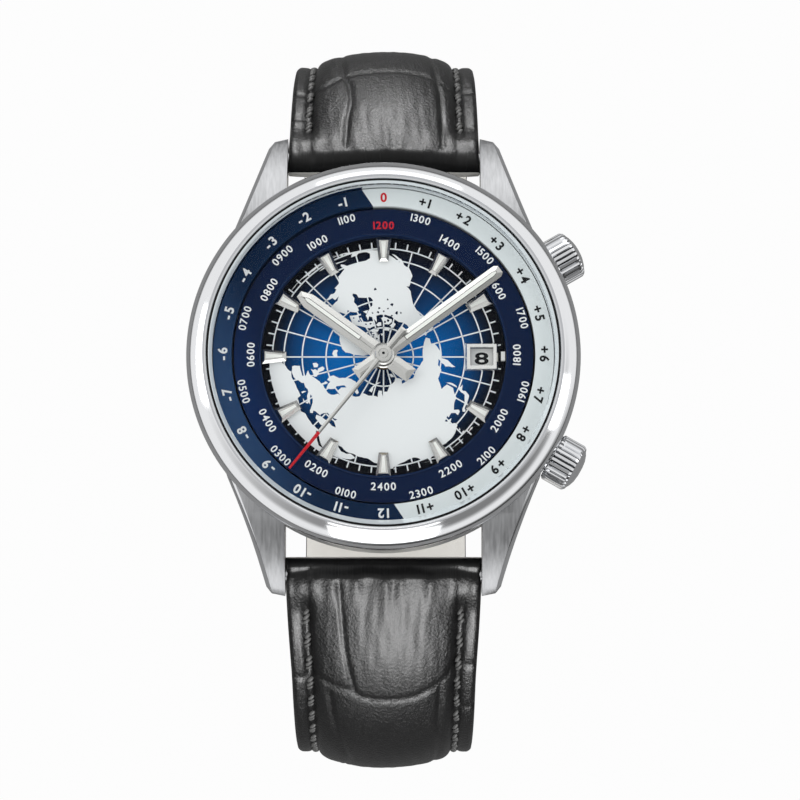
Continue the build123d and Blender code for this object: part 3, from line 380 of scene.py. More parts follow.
# Calf leather, embossed with a scale pattern and glazed: near black, with a soft gloss on the raised parts,
# a grain of about 0.3 mm and fine creases. UV units are 10 mm.
def makeLeather(name, dark, light, rough, bump):
    material, shader = newMaterial(name,
                                   {"Specular IOR Level": 0.16, "Coat Weight": 0.1, "Coat Roughness": 0.3})
    place = addNode(material, "TexCoord", {}).outputs["UV"]
    stretch = addNode(material, "Mapping", {"Scale": (10 / 0.3, 10 / 0.3, 1), "Vector": place})
    grain = {"feature": "SMOOTH_F1", "Smoothness": 0.4, "Vector": stretch}
    cells = addNode(material, "TexVoronoi", {"Scale": 1.0, **grain})
    creases = addNode(material, "TexNoise",
                      {"Scale": 2.2, "Detail": 6.0, "Roughness": 0.65, "Vector": stretch})
    cloud = addNode(material, "TexNoise", {"Scale": 3.0, "Detail": 3.0, "Vector": place})
    blacks = {0: cloud, 6: linearColour(dark), 7: linearColour(light)}
    colour = addNode(material, "Mix", {"data_type": "RGBA", **blacks})
    gloss = addNode(material, "MapRange", {0: creases, 3: rough[0], 4: rough[1]})
    uneven = {"operation": "MULTIPLY_ADD", 0: cells.outputs["Distance"], 1: 0.8, 2: creases}
    surface = addNode(material, "Math", uneven)
    height = addNode(material, "Bump", {"Strength": bump, "Distance": 0.00012, "Height": surface})
    drive(material, colour.outputs[2], shader, "Base Color")
    drive(material, gloss.outputs[0], shader, "Roughness")
    drive(material, height.outputs[0], shader, "Normal")
    return material


strapLeather = makeLeather("calf_leather_embossed_black", "#050505", "#0C0C0D", (0.29, 0.42), 0.55)
# The lining: uncoated-looking ivory calf, much duller than the cover.
liningLeather = makeLeather("calf_leather_lining_ivory", "#F0EDE6", "#F8F6F1", (0.55, 0.75), 0.25)
# Painted edges and twisted polyester thread, grey over a dark core.
edgePaint = coated("leather_edge_paint_black", "#121212", (0.35, 0.5), 1200, (0.1, 0.00003), 0.2)
threadLight = coated("polyester_thread_grey", "#767675", (0.4, 0.6), 9000, (0.3, 0.00002), 0.5)
threadDark = coated("polyester_thread_black", "#0E0E0E", (0.45, 0.6), 9000, (0.3, 0.00002), 0.2)


def seenDirectly(material):
    rays = addNode(material, "LightPath", {}).outputs
    return addNode(material, "Math",
                   {"operation": "MAXIMUM", 0: rays["Is Camera Ray"], 1: rays["Is Transmission Ray"]})


# Sapphire glass with a coating that hardly reflects, which a low index stands for.
# Light on its way to the dial goes straight through.
def makeGlass():
    clarity = {"Base Color": linearColour("#FBFDFD"), "Roughness": 0.0, "IOR": 1.12,
               "Transmission Weight": 1.0}
    material, shader = newMaterial("sapphire_glass_coated", clarity)
    clear = addNode(material, "BsdfTransparent", {})
    mix = addNode(material, "MixShader", {0: seenDirectly(material), 1: clear, 2: shader})
    drive(material, mix.outputs[0], material.node_tree.nodes["Material Output"], "Surface")
    return material


sapphireGlass = makeGlass()
# The bevel of the glass, ground and polished: its pale colour is a painted highlight for the light it gathers
# into a pale rim.
paleRimHighlight = {"Base Color": linearColour("#DCE6EA"), "IOR": 1.6, "Transmission Weight": 0.45}
bevelGlass, bevelShade = newMaterial("sapphire_glass_bevelled", paleRimHighlight)
addGrain(bevelGlass, bevelShade, (600, 600, 600), (0.08, 0.16), (0.03, 0.00001))
print("materials ready")


# Camera, lamps, world and floor

bpy.context.scene.view_settings.view_transform = "Standard"
view = {"elevation": 79.5, "distance": 350, "lens": 141.2, "aim": (1.84, -5.1), "height": 8.2}
elevation = math.radians(view["elevation"])
screenUp = Vector((0, math.sin(elevation), math.cos(elevation)))
towards = Vector((0, -math.cos(elevation), math.sin(elevation)))
aimPlace = Vector((view["aim"][0], 0, view["height"])) + screenUp * view["aim"][1]
cameraPlace = aimPlace + towards * view["distance"]
bpy.ops.object.camera_add(location=cameraPlace / 1000, rotation=(math.pi / 2 - elevation, 0, 0))
camera = bpy.context.active_object
camera.data.lens = view["lens"]
camera.data.sensor_width = 36
camera.data.clip_start = 0.01
bpy.context.scene.camera = camera

lamps = {
    "softbox_front": {"place": (0, -470, 220), "size": (340, 240), "power": 0.4},
    "softbox_back": {"place": (10, 470, 300), "size": (380, 380), "power": 0.42},
    "softbox_left": {"place": (-470, 90, 330), "size": (300, 300), "power": 0.5},
    "softbox_right": {"place": (470, -40, 280), "size": (160, 240), "power": 0.2},
}


def addLamp(name, lamp):
    light = addPiece(bpy.ops.object.light_add, name, type="AREA", location=mm(*lamp["place"]))
    light.data.shape = "RECTANGLE"
    light.data.size = mm(lamp["size"][0])
    light.data.size_y = mm(lamp["size"][1])
    light.data.energy = lamp["power"]
    light.rotation_euler = mm(*lamp["place"]).to_track_quat("Z", "Y").to_euler()
    return light


for name, lamp in lamps.items():
    addLamp(name, lamp)

# World: matt surfaces see an even tent. Metal sees it white low down, and higher up bright behind and dim in
# front, so that the two slopes of a hand or a marker differ. A black card stands low in front.
world = bpy.context.scene.world or bpy.data.worlds.new("studio")
bpy.context.scene.world = world
world.use_nodes = True
worldShade = world.node_tree.nodes["Background"]
direction = addNode(world, "TexCoord", {}).outputs["Generated"]
lift = addNode(world, "SeparateXYZ", {0: direction}).outputs[2]
tent = addNode(world, "MapRange", {0: lift, 1: -0.1, 2: 0.4, 3: 0.55, 4: 0.8, **soft})
level = addNode(world, "VectorMath", {"operation": "MULTIPLY", 0: direction, 1: (1, 1, 0)})
heading = addNode(world, "VectorMath", {"operation": "NORMALIZE", 0: level})
facing = addNode(world, "VectorMath", {"operation": "DOT_PRODUCT", 0: heading, 1: (-0.5, 0.866, 0)})
behind = facing.outputs["Value"]
slopes = addNode(world, "MapRange", {0: behind, 1: -0.9, 2: 0.8, 3: 0.25, 4: 1.0, **soft})
above = addNode(world, "MapRange", {0: lift, 1: 0.38, 2: 0.56, **soft})
below = addNode(world, "MapRange", {0: lift, 1: 0.97, 2: 0.86, **soft})
band = addNode(world, "Math", {"operation": "MULTIPLY", 0: above, 1: below})
shaded = addNode(world, "Mix", {"data_type": "FLOAT", 0: band, 2: 1.0, 3: slopes})
horizon = addNode(world, "MapRange", {0: lift, 1: -0.04, 2: 0.07, 3: 0.1, 4: 1.0, **soft})
overhead = addNode(world, "MapRange", {0: lift, 1: 0.88, 2: 0.96, 3: 1.0, 4: 0.78, **soft})
low = addNode(world, "MapRange", {0: lift, 1: 0.1, 2: 0.26, 3: 0.12, 4: 1.0, **soft})
frontal = addNode(world, "MapRange", {0: behind, 1: -0.4, 2: -0.9, **soft})
carded = addNode(world, "Mix", {"data_type": "FLOAT", 0: frontal, 2: 1.0, 3: low})
mirrored = shaded
for share in (carded, horizon, overhead):
    mirrored = addNode(world, "Math", {"operation": "MULTIPLY", 0: mirrored, 1: share})
rays = addNode(world, "LightPath", {})
sky = addNode(world, "Mix", {"data_type": "FLOAT", 0: rays.outputs["Is Glossy Ray"], 2: tent, 3: mirrored})
brightness = addNode(world, "Mix", {"data_type": "FLOAT", 0: seenDirectly(world), 2: sky, 3: 1.0})
drive(world, brightness.outputs[0], worldShade, "Strength")
worldShade.inputs["Color"].default_value = (1, 1, 1, 1)

# Paper sweep: white to the camera. It takes the object's shadow, and polished metal sees it much darker,
# as it does in a studio where black cards stand round the watch. The strap halves swing down to just
# above it.
floorLook = {"drop": 22.5, "size": 3.0, "white": 0.975, "mirrored": 0.02}
floorPlace = (0, 0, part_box("strap_lower")[0].z - mm(floorLook["drop"]))
floor = addPiece(bpy.ops.mesh.primitive_plane_add, "paper_floor", size=floorLook["size"],
                 location=floorPlace)
matt = {"Base Color": linearColour("#8C8C8C"), "Roughness": 0.9, "Specular IOR Level": 0.1}
paper, paperShade = newMaterial("paper_sweep_white", matt)
glow = addNode(paper, "Emission", {"Color": (1, 1, 1, 1), "Strength": 1.0})
glossy = addNode(paper, "LightPath", {}).outputs["Is Glossy Ray"]
paperShare = addNode(paper, "Math",
                     {"operation": "MULTIPLY", 0: seenDirectly(paper), 1: floorLook["white"]})
paperGloss = addNode(paper, "Math", {"operation": "MULTIPLY", 0: glossy, 1: floorLook["mirrored"]})
paperGlow = addNode(paper, "Math", {"operation": "MAXIMUM", 0: paperShare, 1: paperGloss})
paperMix = addNode(paper, "MixShader", {0: paperGlow, 1: paperShade, 2: glow})
drive(paper, paperMix.outputs[0], paper.node_tree.nodes["Material Output"], "Surface")
floor.data.materials.append(paper)
print("studio ready")


# Strap

strapShape = {
    "bar": (24.0, 2.2), "rollRadius": 2.0, "swellDrop": 24.0, "width": (21.7, 20.0), "margin": (2.3, 1.9),
    "pad": (4.1, 2.6), "padHalf": 8.3, "rowStep": 0.36, "fineEnd": 6.0, "fineRows": 0.16, "columns": 156,
    "tipWidth": 0.36, "tipReach": 0.25, "barHole": 0.97, "buckleHole": 0.82,
}
# Relief of the cover in mm: grooves between scales, the seam, the crease behind the roll, and small wrinkles.
relief = {
    "grooveDepth": 0.18, "grooveWidth": 0.36, "pillow": 0.06, "pillowWidth": 1.3,
    "seamDepth": 0.4, "seamWidth": 0.5, "creaseAt": -1.25, "creaseArch": 0.75, "creaseWidth": 0.66,
    "wrinkle": 0.018, "swell": 0.05, "groovesLeft": 0.35,
}
# How the two long edges are rounded on the outer and the skin side, in mm, and how far the edge bulges.
edgeShape = {"outerDrop": 0.32, "outerReach": 0.55, "skinRise": 0.22, "skinReach": 0.6, "bulge": 0.12}
stitchPlace = {"reach": 8.75, "pitch": 2.9, "first": 4.6, "lift": 0.16, "tilt": 5}

# Grooves of the embossed scales, as listed (across, along) points, and cross rows further along.
halves = {
    "upper": {
        "side": 1, "swell": 39.3, "drop": 43.0, "endAt": 6.9, "tip": 0.0,
        "edge": 26.2, "crease": 0.05, "pucker": 0.035,
        "grooves": [
            [(-4.4, 0.6), (-4.2, 4), (-3.8, 7), (-4.0, 10), (-4.7, 12.3), (-5.2, 18), (-5.0, 29)],
            [(6.7, 0.6), (6.7, 5), (6.5, 9), (6.1, 12.6), (5.6, 18), (5.7, 29)],
            [(-8.3, 10.2), (-6.5, 11.3), (-4.6, 12.5), (-1.5, 12.9), (2.5, 12.9), (5.4, 12.4), (7.2, 11.4),
             (8.3, 10.4)],
            [(-10.9, 10.9), (-9.1, 10.5)], [(9.1, 11.3), (10.9, 11.2)], [(-10.9, 5.9), (-9.3, 6.1)],
        ],
        "rows": [29.0, 40.5, 51.5, 62.0],
    },
    "lower": {
        "side": -1, "swell": 39.6, "drop": 54.0, "endAt": -28.8, "tip": 9.0,
        "edge": 36.6, "crease": 0.38, "pucker": 0.065,
        "grooves": [
            [(-4.9, 0.6), (-4.7, 4), (-4.4, 7), (-4.0, 10), (-3.4, 12.4)],
            [(-8.3, 11.1), (-5.8, 12.4), (-3.7, 12.7), (-2.7, 13.5), (-1.0, 13.9), (1.5, 13.9),
             (3.6, 13.6), (5.6, 12.6), (7.3, 11.4), (8.1, 9.6)],
            [(-6.2, 13.4), (-5.9, 17), (-5.0, 22), (-4.2, 27), (-4.4, 33)],
            [(6.4, 12.6), (6.2, 18), (6.4, 25), (6.0, 33)],
            [(-10.9, 12.2), (-9.1, 12.3)], [(9.1, 10.6), (10.9, 10.5)], [(9.1, 17.0), (10.9, 16.6)],
        ],
        "rows": [33.0, 44.5, 55.5, 66.0, 76.0, 85.5, 94.5, 103.0],
    },
}


def strapArcs(half):
    # angle and radius of the arc beside the case, and radius of the arc that turns under
    barReach, barHeight = strapShape["bar"]
    rise = barHeight + strapShape["swellDrop"]
    angle = 2 * math.atan((half["swell"] + strapShape["rollRadius"] - barReach) / rise)
    return angle, rise / math.sin(angle) - strapShape["rollRadius"], half["drop"] - strapShape["swellDrop"]


def strapLine(half, along):
    # where the skin side is, and which way it faces outwards, for distances along the strap in mm
    angle, upper, lower = strapArcs(half)
    firstEnd = upper * angle
    secondEnd = firstEnd + lower * math.pi / 2
    turn = np.where(along < firstEnd, angle - along / upper,
                    -(np.minimum(along, secondEnd) - firstEnd) / lower)
    centre = np.where(along < firstEnd, half["swell"] - upper, half["swell"] - lower)
    radius = np.where(along < firstEnd, upper, lower)
    straight = np.maximum(along - secondEnd, 0)
    y = centre + radius * np.cos(turn) - straight
    z = -strapShape["swellDrop"] + radius * np.sin(turn)
    return half["side"] * y, z, half["side"] * np.cos(turn), np.sin(turn)


def strapPlace(half, along):
    return [float(value[0]) for value in strapLine(half, np.array([along]))]


def strapLength(half):
    angle, upper, lower = strapArcs(half)
    return upper * angle + lower * math.pi / 2 + (half["swell"] - lower - half["endAt"])


def strapSizes(half, along):
    # width, margin thickness and pad rise; the end of a half without a tip is one even roll
    share = np.clip(along / half["length"], 0, 1)
    width = between(strapShape["width"], share)
    margin = between(strapShape["margin"], share)
    pad = between(strapShape["pad"], np.clip((share - 0.4) / 0.6, 0, 1))
    margin = margin + (2 * strapShape["rollRadius"] - 0.5 - margin) * (1 - smooth(along, 0.8, 4.5))
    if half["tip"]:
        width = width - 0.75 * smooth(along, 1.0, 15.0) * (1 - smooth(along, 30.0, 80.0))
        left = np.clip((half["length"] - along) / half["tip"], 0, 1)
        width = width * (strapShape["tipWidth"] + (1 - strapShape["tipWidth"]) * np.sqrt(1 - (1 - left) ** 2))
    return width, margin, np.maximum(pad - margin, 0)


def scaleGrooves(half):
    # rows of scales further along, each a little different
    lines = [list(line) for line in half["grooves"]]
    for row, start in enumerate(half["rows"]):
        bend = 0.9 + 0.5 * random.random()
        acrossPoints = (-8.2, -5.5, -2.8, 0, 2.8, 5.5, 8.2)
        lines.append([(x, start + bend * (1 - (x / 5.5) ** 2)) for x in acrossPoints])
        end = half["rows"][row + 1] if row + 1 < len(half["rows"]) else start + 9
        for x in (-5.2, 5.6):
            near, far = x + random.uniform(-0.6, 0.6), x + random.uniform(-0.6, 0.6)
            middle = (near + far) / 2 + random.uniform(-0.3, 0.3)
            lines.append([(near, start + 0.5), (middle, (start + end) / 2), (far, end)])
        if row % 2 == 0:
            x = random.uniform(-1.2, 1.2)
            lines.append([(x, start + 1.2), (x + random.uniform(-0.5, 0.5), end + 0.8)])
        for x in (-10.9, 9.1):
            at = start + random.uniform(-3, 3)
            lines.append([(x, at), (x + 1.8, at + random.uniform(-0.3, 0.3))])
    return lines


def grooveHeight(lines, x, s):
    # how far each point sinks beside the nearest line
    nearest = np.full(x.shape, 99.0)
    for line in lines:
        for (x0, s0), (x1, s1) in zip(line, line[1:]):
            dx, ds = x1 - x0, s1 - s0
            share = np.clip(((x - x0) * dx + (s - s0) * ds) / (dx * dx + ds * ds), 0, 1)
            nearest = np.minimum(nearest, np.hypot(x - x0 - share * dx, s - s0 - share * ds))
    # a narrow valley in a wide shallow one, so that each scale swells like a pillow
    valley = relief["grooveDepth"] * np.exp(-(nearest / relief["grooveWidth"]) ** 2)
    return -valley - relief["pillow"] * np.exp(-nearest / relief["pillowWidth"])


def outerHeight(half, lines, x, s):
    width, margin, rise = strapSizes(half, s)
    spread = width / strapShape["width"][0]
    arch = np.clip(1 - (np.abs(x) / (strapShape["padHalf"] * spread)) ** 2, 0, 1) ** 0.6
    height = margin + rise * arch
    # the seam sinks where the stitches pull, and the roll meets the cover in an arched crease
    seam = np.exp(-((np.abs(x) - stitchPlace["reach"] * spread) / relief["seamWidth"]) ** 2)
    height = height - relief["seamDepth"] * seam * smooth(s, 1.5, 4.0)
    crease = relief["creaseAt"] + relief["creaseArch"] * (x / 11) ** 2 + 0.08 * np.sin(1.3 * x + 1)
    height = height - half["crease"] * np.exp(-((s - crease) / relief["creaseWidth"]) ** 2)
    # puckers where the cover is drawn in behind the roll, and a soft unevenness all over
    waves = np.sin(1.4 * x + 0.6) + 0.8 * np.sin(2.3 * x + 2.0) + 0.5 * np.sin(3.9 * x + 0.4)
    height = height + half["pucker"] * waves * np.exp(-np.maximum(s - 0.4, 0) / 2.4) * smooth(s, -0.8, 0.6)
    wrinkles = np.sin(4.2 * x + 1.1 * np.sin(0.4 * s)) * np.sin(0.7 * s + 0.9 * x)
    swells = np.sin(0.55 * x + 0.21 * s + half["side"]) * np.sin(0.33 * s + 1.3)
    height = height + relief["wrinkle"] * wrinkles + relief["swell"] * swells
    # the grooves grow shallow where the strap turns under
    fade = (1 - relief["groovesLeft"]) * np.exp(-((s - half["edge"]) / 3.0) ** 2)
    return height + grooveHeight(lines, x, s) * (1 - fade)


def buildStrap(key):
    half = halves[key]
    length = half["length"] = strapLength(half)
    lines = scaleGrooves(half)
    roll, endRoll = strapShape["rollRadius"], strapShape["pad"][1] / 2
    fineEnd = strapShape["fineEnd"]
    fineCount = int(fineEnd / strapShape["fineRows"])
    bodyRows = int((length - fineEnd) / strapShape["rowStep"])
    rowStep = (length - fineEnd) / bodyRows
    # rows: a rounded start, the body, and a rounded end; each row has a distance and a bend angle
    rows = [(0.0, -a) for a in range(84, 0, -5)]
    rows += [(fineEnd * k / fineCount, 0.0) for k in range(fineCount)]
    rows += [(fineEnd + rowStep * k, 0.0) for k in range(bodyRows)]
    # a rounded tip narrows fast in its last row, so that row is split
    lastShares = (0.75, 0.5, 0.25, 0.1, 0.03, 0) if half["tip"] else (0,)
    rows += [(length - rowStep * share, 0.0) for share in lastShares]
    rows += [(length, a) for a in (15, 30, 45, 60, 75, 85)]
    # columns: 0 the skin side, 1 the right edge, 2 the outer side, 3 the left edge
    skinCount, edgeCount, outerCount = 18, 4, strapShape["columns"]
    around = [(0, -1 + 2 * k / skinCount) for k in range(skinCount)]
    around += [(1, k / edgeCount) for k in range(edgeCount)]
    around += [(2, 1 - 2 * k / outerCount) for k in range(outerCount)]
    around += [(3, 1 - k / edgeCount) for k in range(edgeCount)]
    total = len(around)
    grid = {"x_subdivisions": total, "y_subdivisions": len(rows) - 1, "size": 1}
    piece = addPiece(bpy.ops.mesh.primitive_grid_add, "strap_cover_" + key, **grid)
    mesh = piece.data
    flat = np.empty(len(mesh.vertices) * 3)
    mesh.vertices.foreach_get("co", flat)
    flat = flat.reshape(-1, 3)
    column = np.rint((flat[:, 0] + 0.5) * total).astype(int) % total
    row = np.rint((flat[:, 1] + 0.5) * (len(rows) - 1)).astype(int)
    kind, place = np.array([k for k, _ in around])[column], np.array([value for _, value in around])[column]
    along, bend = np.array([value for value, _ in rows])[row], np.radians([value for _, value in rows])[row]
    halfWidth = strapSizes(half, along)[0] / 2
    x = np.select([kind == 1, kind == 3], [halfWidth, -halfWidth], place * halfWidth)
    top = outerHeight(half, lines, x, along + np.where(bend < 0, roll * bend, 0))
    # both edges are rounded, and bulge a little
    past = np.abs(x) - halfWidth
    top = top - edgeShape["outerDrop"] * np.clip(past / edgeShape["outerReach"] + 1, 0, 1) ** 2
    low = edgeShape["skinRise"] * np.clip(past / edgeShape["skinReach"] + 1, 0, 1) ** 2
    height = np.select([kind == 0, kind == 2], [low, top], low + (top - low) * place)
    bulge = edgeShape["bulge"] * np.sin(np.pi * place)
    x = x + np.select([kind == 1, kind == 3], [bulge, -bulge], 0)
    if half["tip"]:
        x = x * np.where(bend > 0, 1 - 0.2 * (1 - np.cos(bend)), 1)
    y, z, ny, nz = strapLine(half, along)
    # the rounded ends turn about the middle of the thickness, and a tip hardly reaches out
    radius = np.where(bend < 0, roll, endRoll)
    height = np.where(bend != 0, radius + (height - radius) * np.cos(bend), height)
    slide = np.where(bend < 0, roll, strapShape["tipReach"] if half["tip"] else endRoll) * np.sin(bend)
    ty, tz = half["side"] * nz, -ny * half["side"]
    newPlaces = np.stack([x, y + ny * height + ty * slide, z + nz * height + tz * slide], axis=1) / 1000
    mesh.vertices.foreach_set("co", newPlaces.ravel())
    # UV in units of 10 mm across and along, and one material each for cover, lining and edge
    loopVertex = np.empty(len(mesh.loops), int)
    mesh.loops.foreach_get("vertex_index", loopVertex)
    across = np.where(kind == 0, 40 + x, np.where(kind == 2, x, 20 + height))
    uvs = np.stack([across[loopVertex] / 10, along[loopVertex] / 10], axis=1)
    mesh.uv_layers[0].data.foreach_set("uv", uvs.ravel())
    mesh.update()
    for material in (strapLeather, liningLeather, edgePaint):
        mesh.materials.append(material)
    for polygon in mesh.polygons:
        columns = [column[v] for v in polygon.vertices]
        lowest = min(columns) if max(columns) - min(columns) < total / 2 else max(columns)
        onTip = half["tip"] and max(bend[v] for v in polygon.vertices) > 0
        if lowest < skinCount and not onTip:
            polygon.material_index = 1
        elif onTip or not skinCount + edgeCount <= lowest < total - edgeCount:
            polygon.material_index = 2
    editAll(piece)
    bpy.ops.mesh.remove_doubles(threshold=1e-6)
    bpy.ops.mesh.select_all(action="SELECT")
    bpy.ops.mesh.fill_holes(sides=0)
    backToObject()
    return piece


holes = {"radius": 1.0, "first": 22.0, "pitch": 6.5, "count": 7}
notch = {"width": 2.8, "reach": 3.6, "past": 0.4}
glazed = []
for key, body in (("upper", "strap_upper"), ("lower", "strap_lower")):
    half = halves[key]
    piece = buildStrap(key)
    barPlace = (0, half["side"] * strapShape["bar"][0], strapShape["bar"][1])
    cutters = [rodCutter(strapShape["barHole"], barPlace, (1, 0, 0), 30)]
    if key == "upper":
        buckleCentre = (0, half["endAt"], -half["drop"] - strapShape["pad"][1] / 2)
        cutters.append(rodCutter(strapShape["buckleHole"], buckleCentre, (1, 0, 0), 30))
        notchSize = mm(notch["width"], 2 * notch["reach"] + 2 * notch["past"], 12)
        cutters.append(boxCutter(mm(0, half["endAt"] - notch["past"], buckleCentre[2]), notchSize))
    else:
        for number in range(holes["count"]):
            y, z, ny, nz = strapPlace(half, half["length"] - holes["first"] - number * holes["pitch"])
            cutters.append(rodCutter(holes["radius"], (0, y + 2 * ny, z + 2 * nz), (0, ny, nz), 14))
    cutAway(piece, cutters)
    smoothShade(piece, 55)
    dress(piece, body, "strap_leather")
    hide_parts(body)
    glazed.append(piece)
    print("strap half", key, "ready:", len(piece.data.polygons), "faces")


# One stitch of twisted thread: three light strands slant across a dark core. It is copied along both seams of
# each half, and its ends dive into the leather.
stitchShape = {"strands": 3, "spacing": 0.68, "strand": (0.23, 0.56, 0.23), "slant": -38,
               "core": (0.3, 1.1, 0.22)}


def roundStrand(place, sizes, slant, material):
    strand = addPiece(bpy.ops.mesh.primitive_ico_sphere_add, "strand", subdivisions=2, radius=1)
    strand.scale = mm(*sizes)
    strand.rotation_euler = (0, 0, math.radians(slant))
    strand.location = mm(*place)
    applyPlace(strand)
    strand.data.materials.append(material)
    return strand


def buildStitch():
    shape = stitchShape
    strands = [roundStrand((0, 0, -0.06), shape["core"], 0, threadDark)]
    for number in range(shape["strands"]):
        along = (number - (shape["strands"] - 1) / 2) * shape["spacing"]
        place = (0, along, 0.04 - 0.1 * along * along)
        strands.append(roundStrand(place, shape["strand"], shape["slant"], threadLight))
    stitch = joinAll(strands, "stitch")
    for vertex in stitch.data.vertices:
        vertex.co.z -= mm(0.28) * (vertex.co.y / mm(1.1)) ** 4
    return stitch


firstStitch = buildStitch()
for key, half in halves.items():
    count = int((half["length"] - half["tip"] - 9) / stitchPlace["pitch"])
    stitches = []
    for number in range(count):
        along = stitchPlace["first"] + number * stitchPlace["pitch"]
        spread = float(strapSizes(half, along)[0]) / strapShape["width"][0]
        y, z, ny, nz = strapPlace(half, along)
        tangent = Vector((0, half["side"] * nz, -half["side"] * ny))
        normal = Vector((0, ny, nz))
        turnMatrix = Matrix((tangent.cross(normal), tangent, normal)).transposed().to_4x4()
        for side in (-1, 1):
            x = side * stitchPlace["reach"] * spread
            height = float(outerHeight(half, [], np.array([x]), np.array([along]))[0]) + stitchPlace["lift"]
            copy = addCopy(firstStitch.data, "stitch")
            tilt = Matrix.Rotation(math.radians(side * stitchPlace["tilt"]), 4, "Z")
            centre = mm(x, y + ny * height, z + nz * height)
            copy.data.transform(Matrix.Translation(centre) @ turnMatrix @ tilt)
            stitches.append(copy)
    seam = joinAll(stitches, "stitches_" + key)
    smoothShade(seam, 60)
    dress(seam, "strap_" + key, "strap_leather")
    glazed.append(seam)
bpy.data.objects.remove(firstStitch)
print("stitches ready")

# Keepers: cut leather loops with softened edges, grained like the strap.
for node, body in (("keeper_fixed", "strap_upper"), ("keeper_free", "free_keeper")):
    keeper = copyNode(node, "loop_" + node, 0.28, 3, 40)
    editAll(keeper)
    bpy.ops.uv.cube_project(cube_size=0.01)
    backToObject(outwards=False)
    dress(keeper, body, "strap_leather", strapLeather)
    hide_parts(node)

# Two long cards that only the glazed leather mirrors, as soft bands down the middle of each half.
cards = {
    "card_front": {"place": (45, -441, 276), "size": (110, 440), "power": 12.0},
    "card_back": {"place": (0, 495, 160), "size": (130, 320), "power": 6.0},
}
mirrors = bpy.data.collections.new("glazed_leather")
for piece in glazed:
    mirrors.objects.link(piece)
for name, lamp in cards.items():
    card = addLamp(name, lamp)
    card.visible_diffuse = False
    card.light_linking.receiver_collection = mirrors

# Buckle: polished steel with rounded edges.
for node, body, bevel in (("frame", "buckle", 0.45), ("bar", "buckle", 0.2), ("tongue", "tongue", 0.3)):
    piece = copyNode("buckle_" + node, "clasp_" + node, bevel, 3, 35)
    dress(piece, body, "polished_steel", polishedSteel)
    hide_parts("buckle_" + node)
print("keepers and buckle ready")


# Case, bezel, crystal and crowns

# Case middle: brushed lengthwise, with polished bevels along the lugs. Faces that slope this much, and lie
# this far out in x and y, belong to the bevels.
lugBevel = {"slope": (0.35, 0.93), "sideways": 0.3, "beyond": (11.4, 9)}
caseMiddle = copyNode("mid_case", "case_middle", 0.05, 2, 25)
dress(caseMiddle, "case", "case_steel", brushedSteel, polishedSteel)
steepest, flattest = lugBevel["slope"]
for polygon in caseMiddle.data.polygons:
    normal, centre = polygon.normal, polygon.center * 1000
    sloping = steepest < normal.z < flattest and abs(normal.x) > lugBevel["sideways"]
    if sloping and abs(centre.x) > lugBevel["beyond"][0] and abs(centre.y) > lugBevel["beyond"][1]:
        polygon.material_index = 1
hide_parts("mid_case")

# Bezel as (radius, height) points: the polished convex slope, a fine groove, and the lip beside the glass.
bezelOutline = [
    (19.05, 7.572), (21.5, 7.572), (21.94, 7.872), (22.0, 7.992),
    (22.0, 8.35), (21.985, 8.56), (21.93, 8.82), (21.82, 9.07), (21.66, 9.29), (21.45, 9.50),
    (21.2, 9.71), (20.9, 9.93), (20.6, 10.12), (20.35, 10.26), (20.2, 10.35), (20.12, 10.40),
    (20.06, 10.30), (20.0, 10.24), (19.94, 10.30), (19.9, 10.33), (19.76, 10.31),
    (19.7, 10.24), (19.7, 9.203), (19.05, 9.203),
]
bezel = turnPiece("bezel_band", bezelOutline, 256)
smoothShade(bezel, 40)
dress(bezel, "case", "polished_steel", polishedSteel)
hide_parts("bezel")

glassShape = {"radius": 19.45, "bottom": 9.203, "top": 10.653, "bevel": 0.42, "drop": 0.3}
bevelInner = glassShape["radius"] - glassShape["bevel"]
glass = turnPiece("crystal_glass", [
    (0, glassShape["bottom"]), (glassShape["radius"], glassShape["bottom"]),
    (glassShape["radius"], glassShape["top"] - glassShape["drop"]),
    (bevelInner, glassShape["top"]), (0, glassShape["top"])], 192)
smoothShade(glass, 20)
dress(glass, "case", "crystal_glass", sapphireGlass, bevelGlass)
for polygon in glass.data.polygons:
    if math.hypot(*polygon.center[:2]) > mm(bevelInner):
        polygon.material_index = 1
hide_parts("crystal")

# Crowns: wide lands with narrow grooves painted dark as painted shade, a bevel at each end and a low polished
# cap. Each flute has six steps of the turn, and two of them sink to the groove's bottom. Points nearer the
# axis than fluted stay put.
crownShape = {"radius": 2.78, "grooveRadius": 2.52, "flutes": 30, "base": 21.8, "height": 4.5,
              "grooveEnds": (0.2, 2.9),
              "fluted": 2.4, "whole": 2.6, "paintedShadeFrom": 2.3}


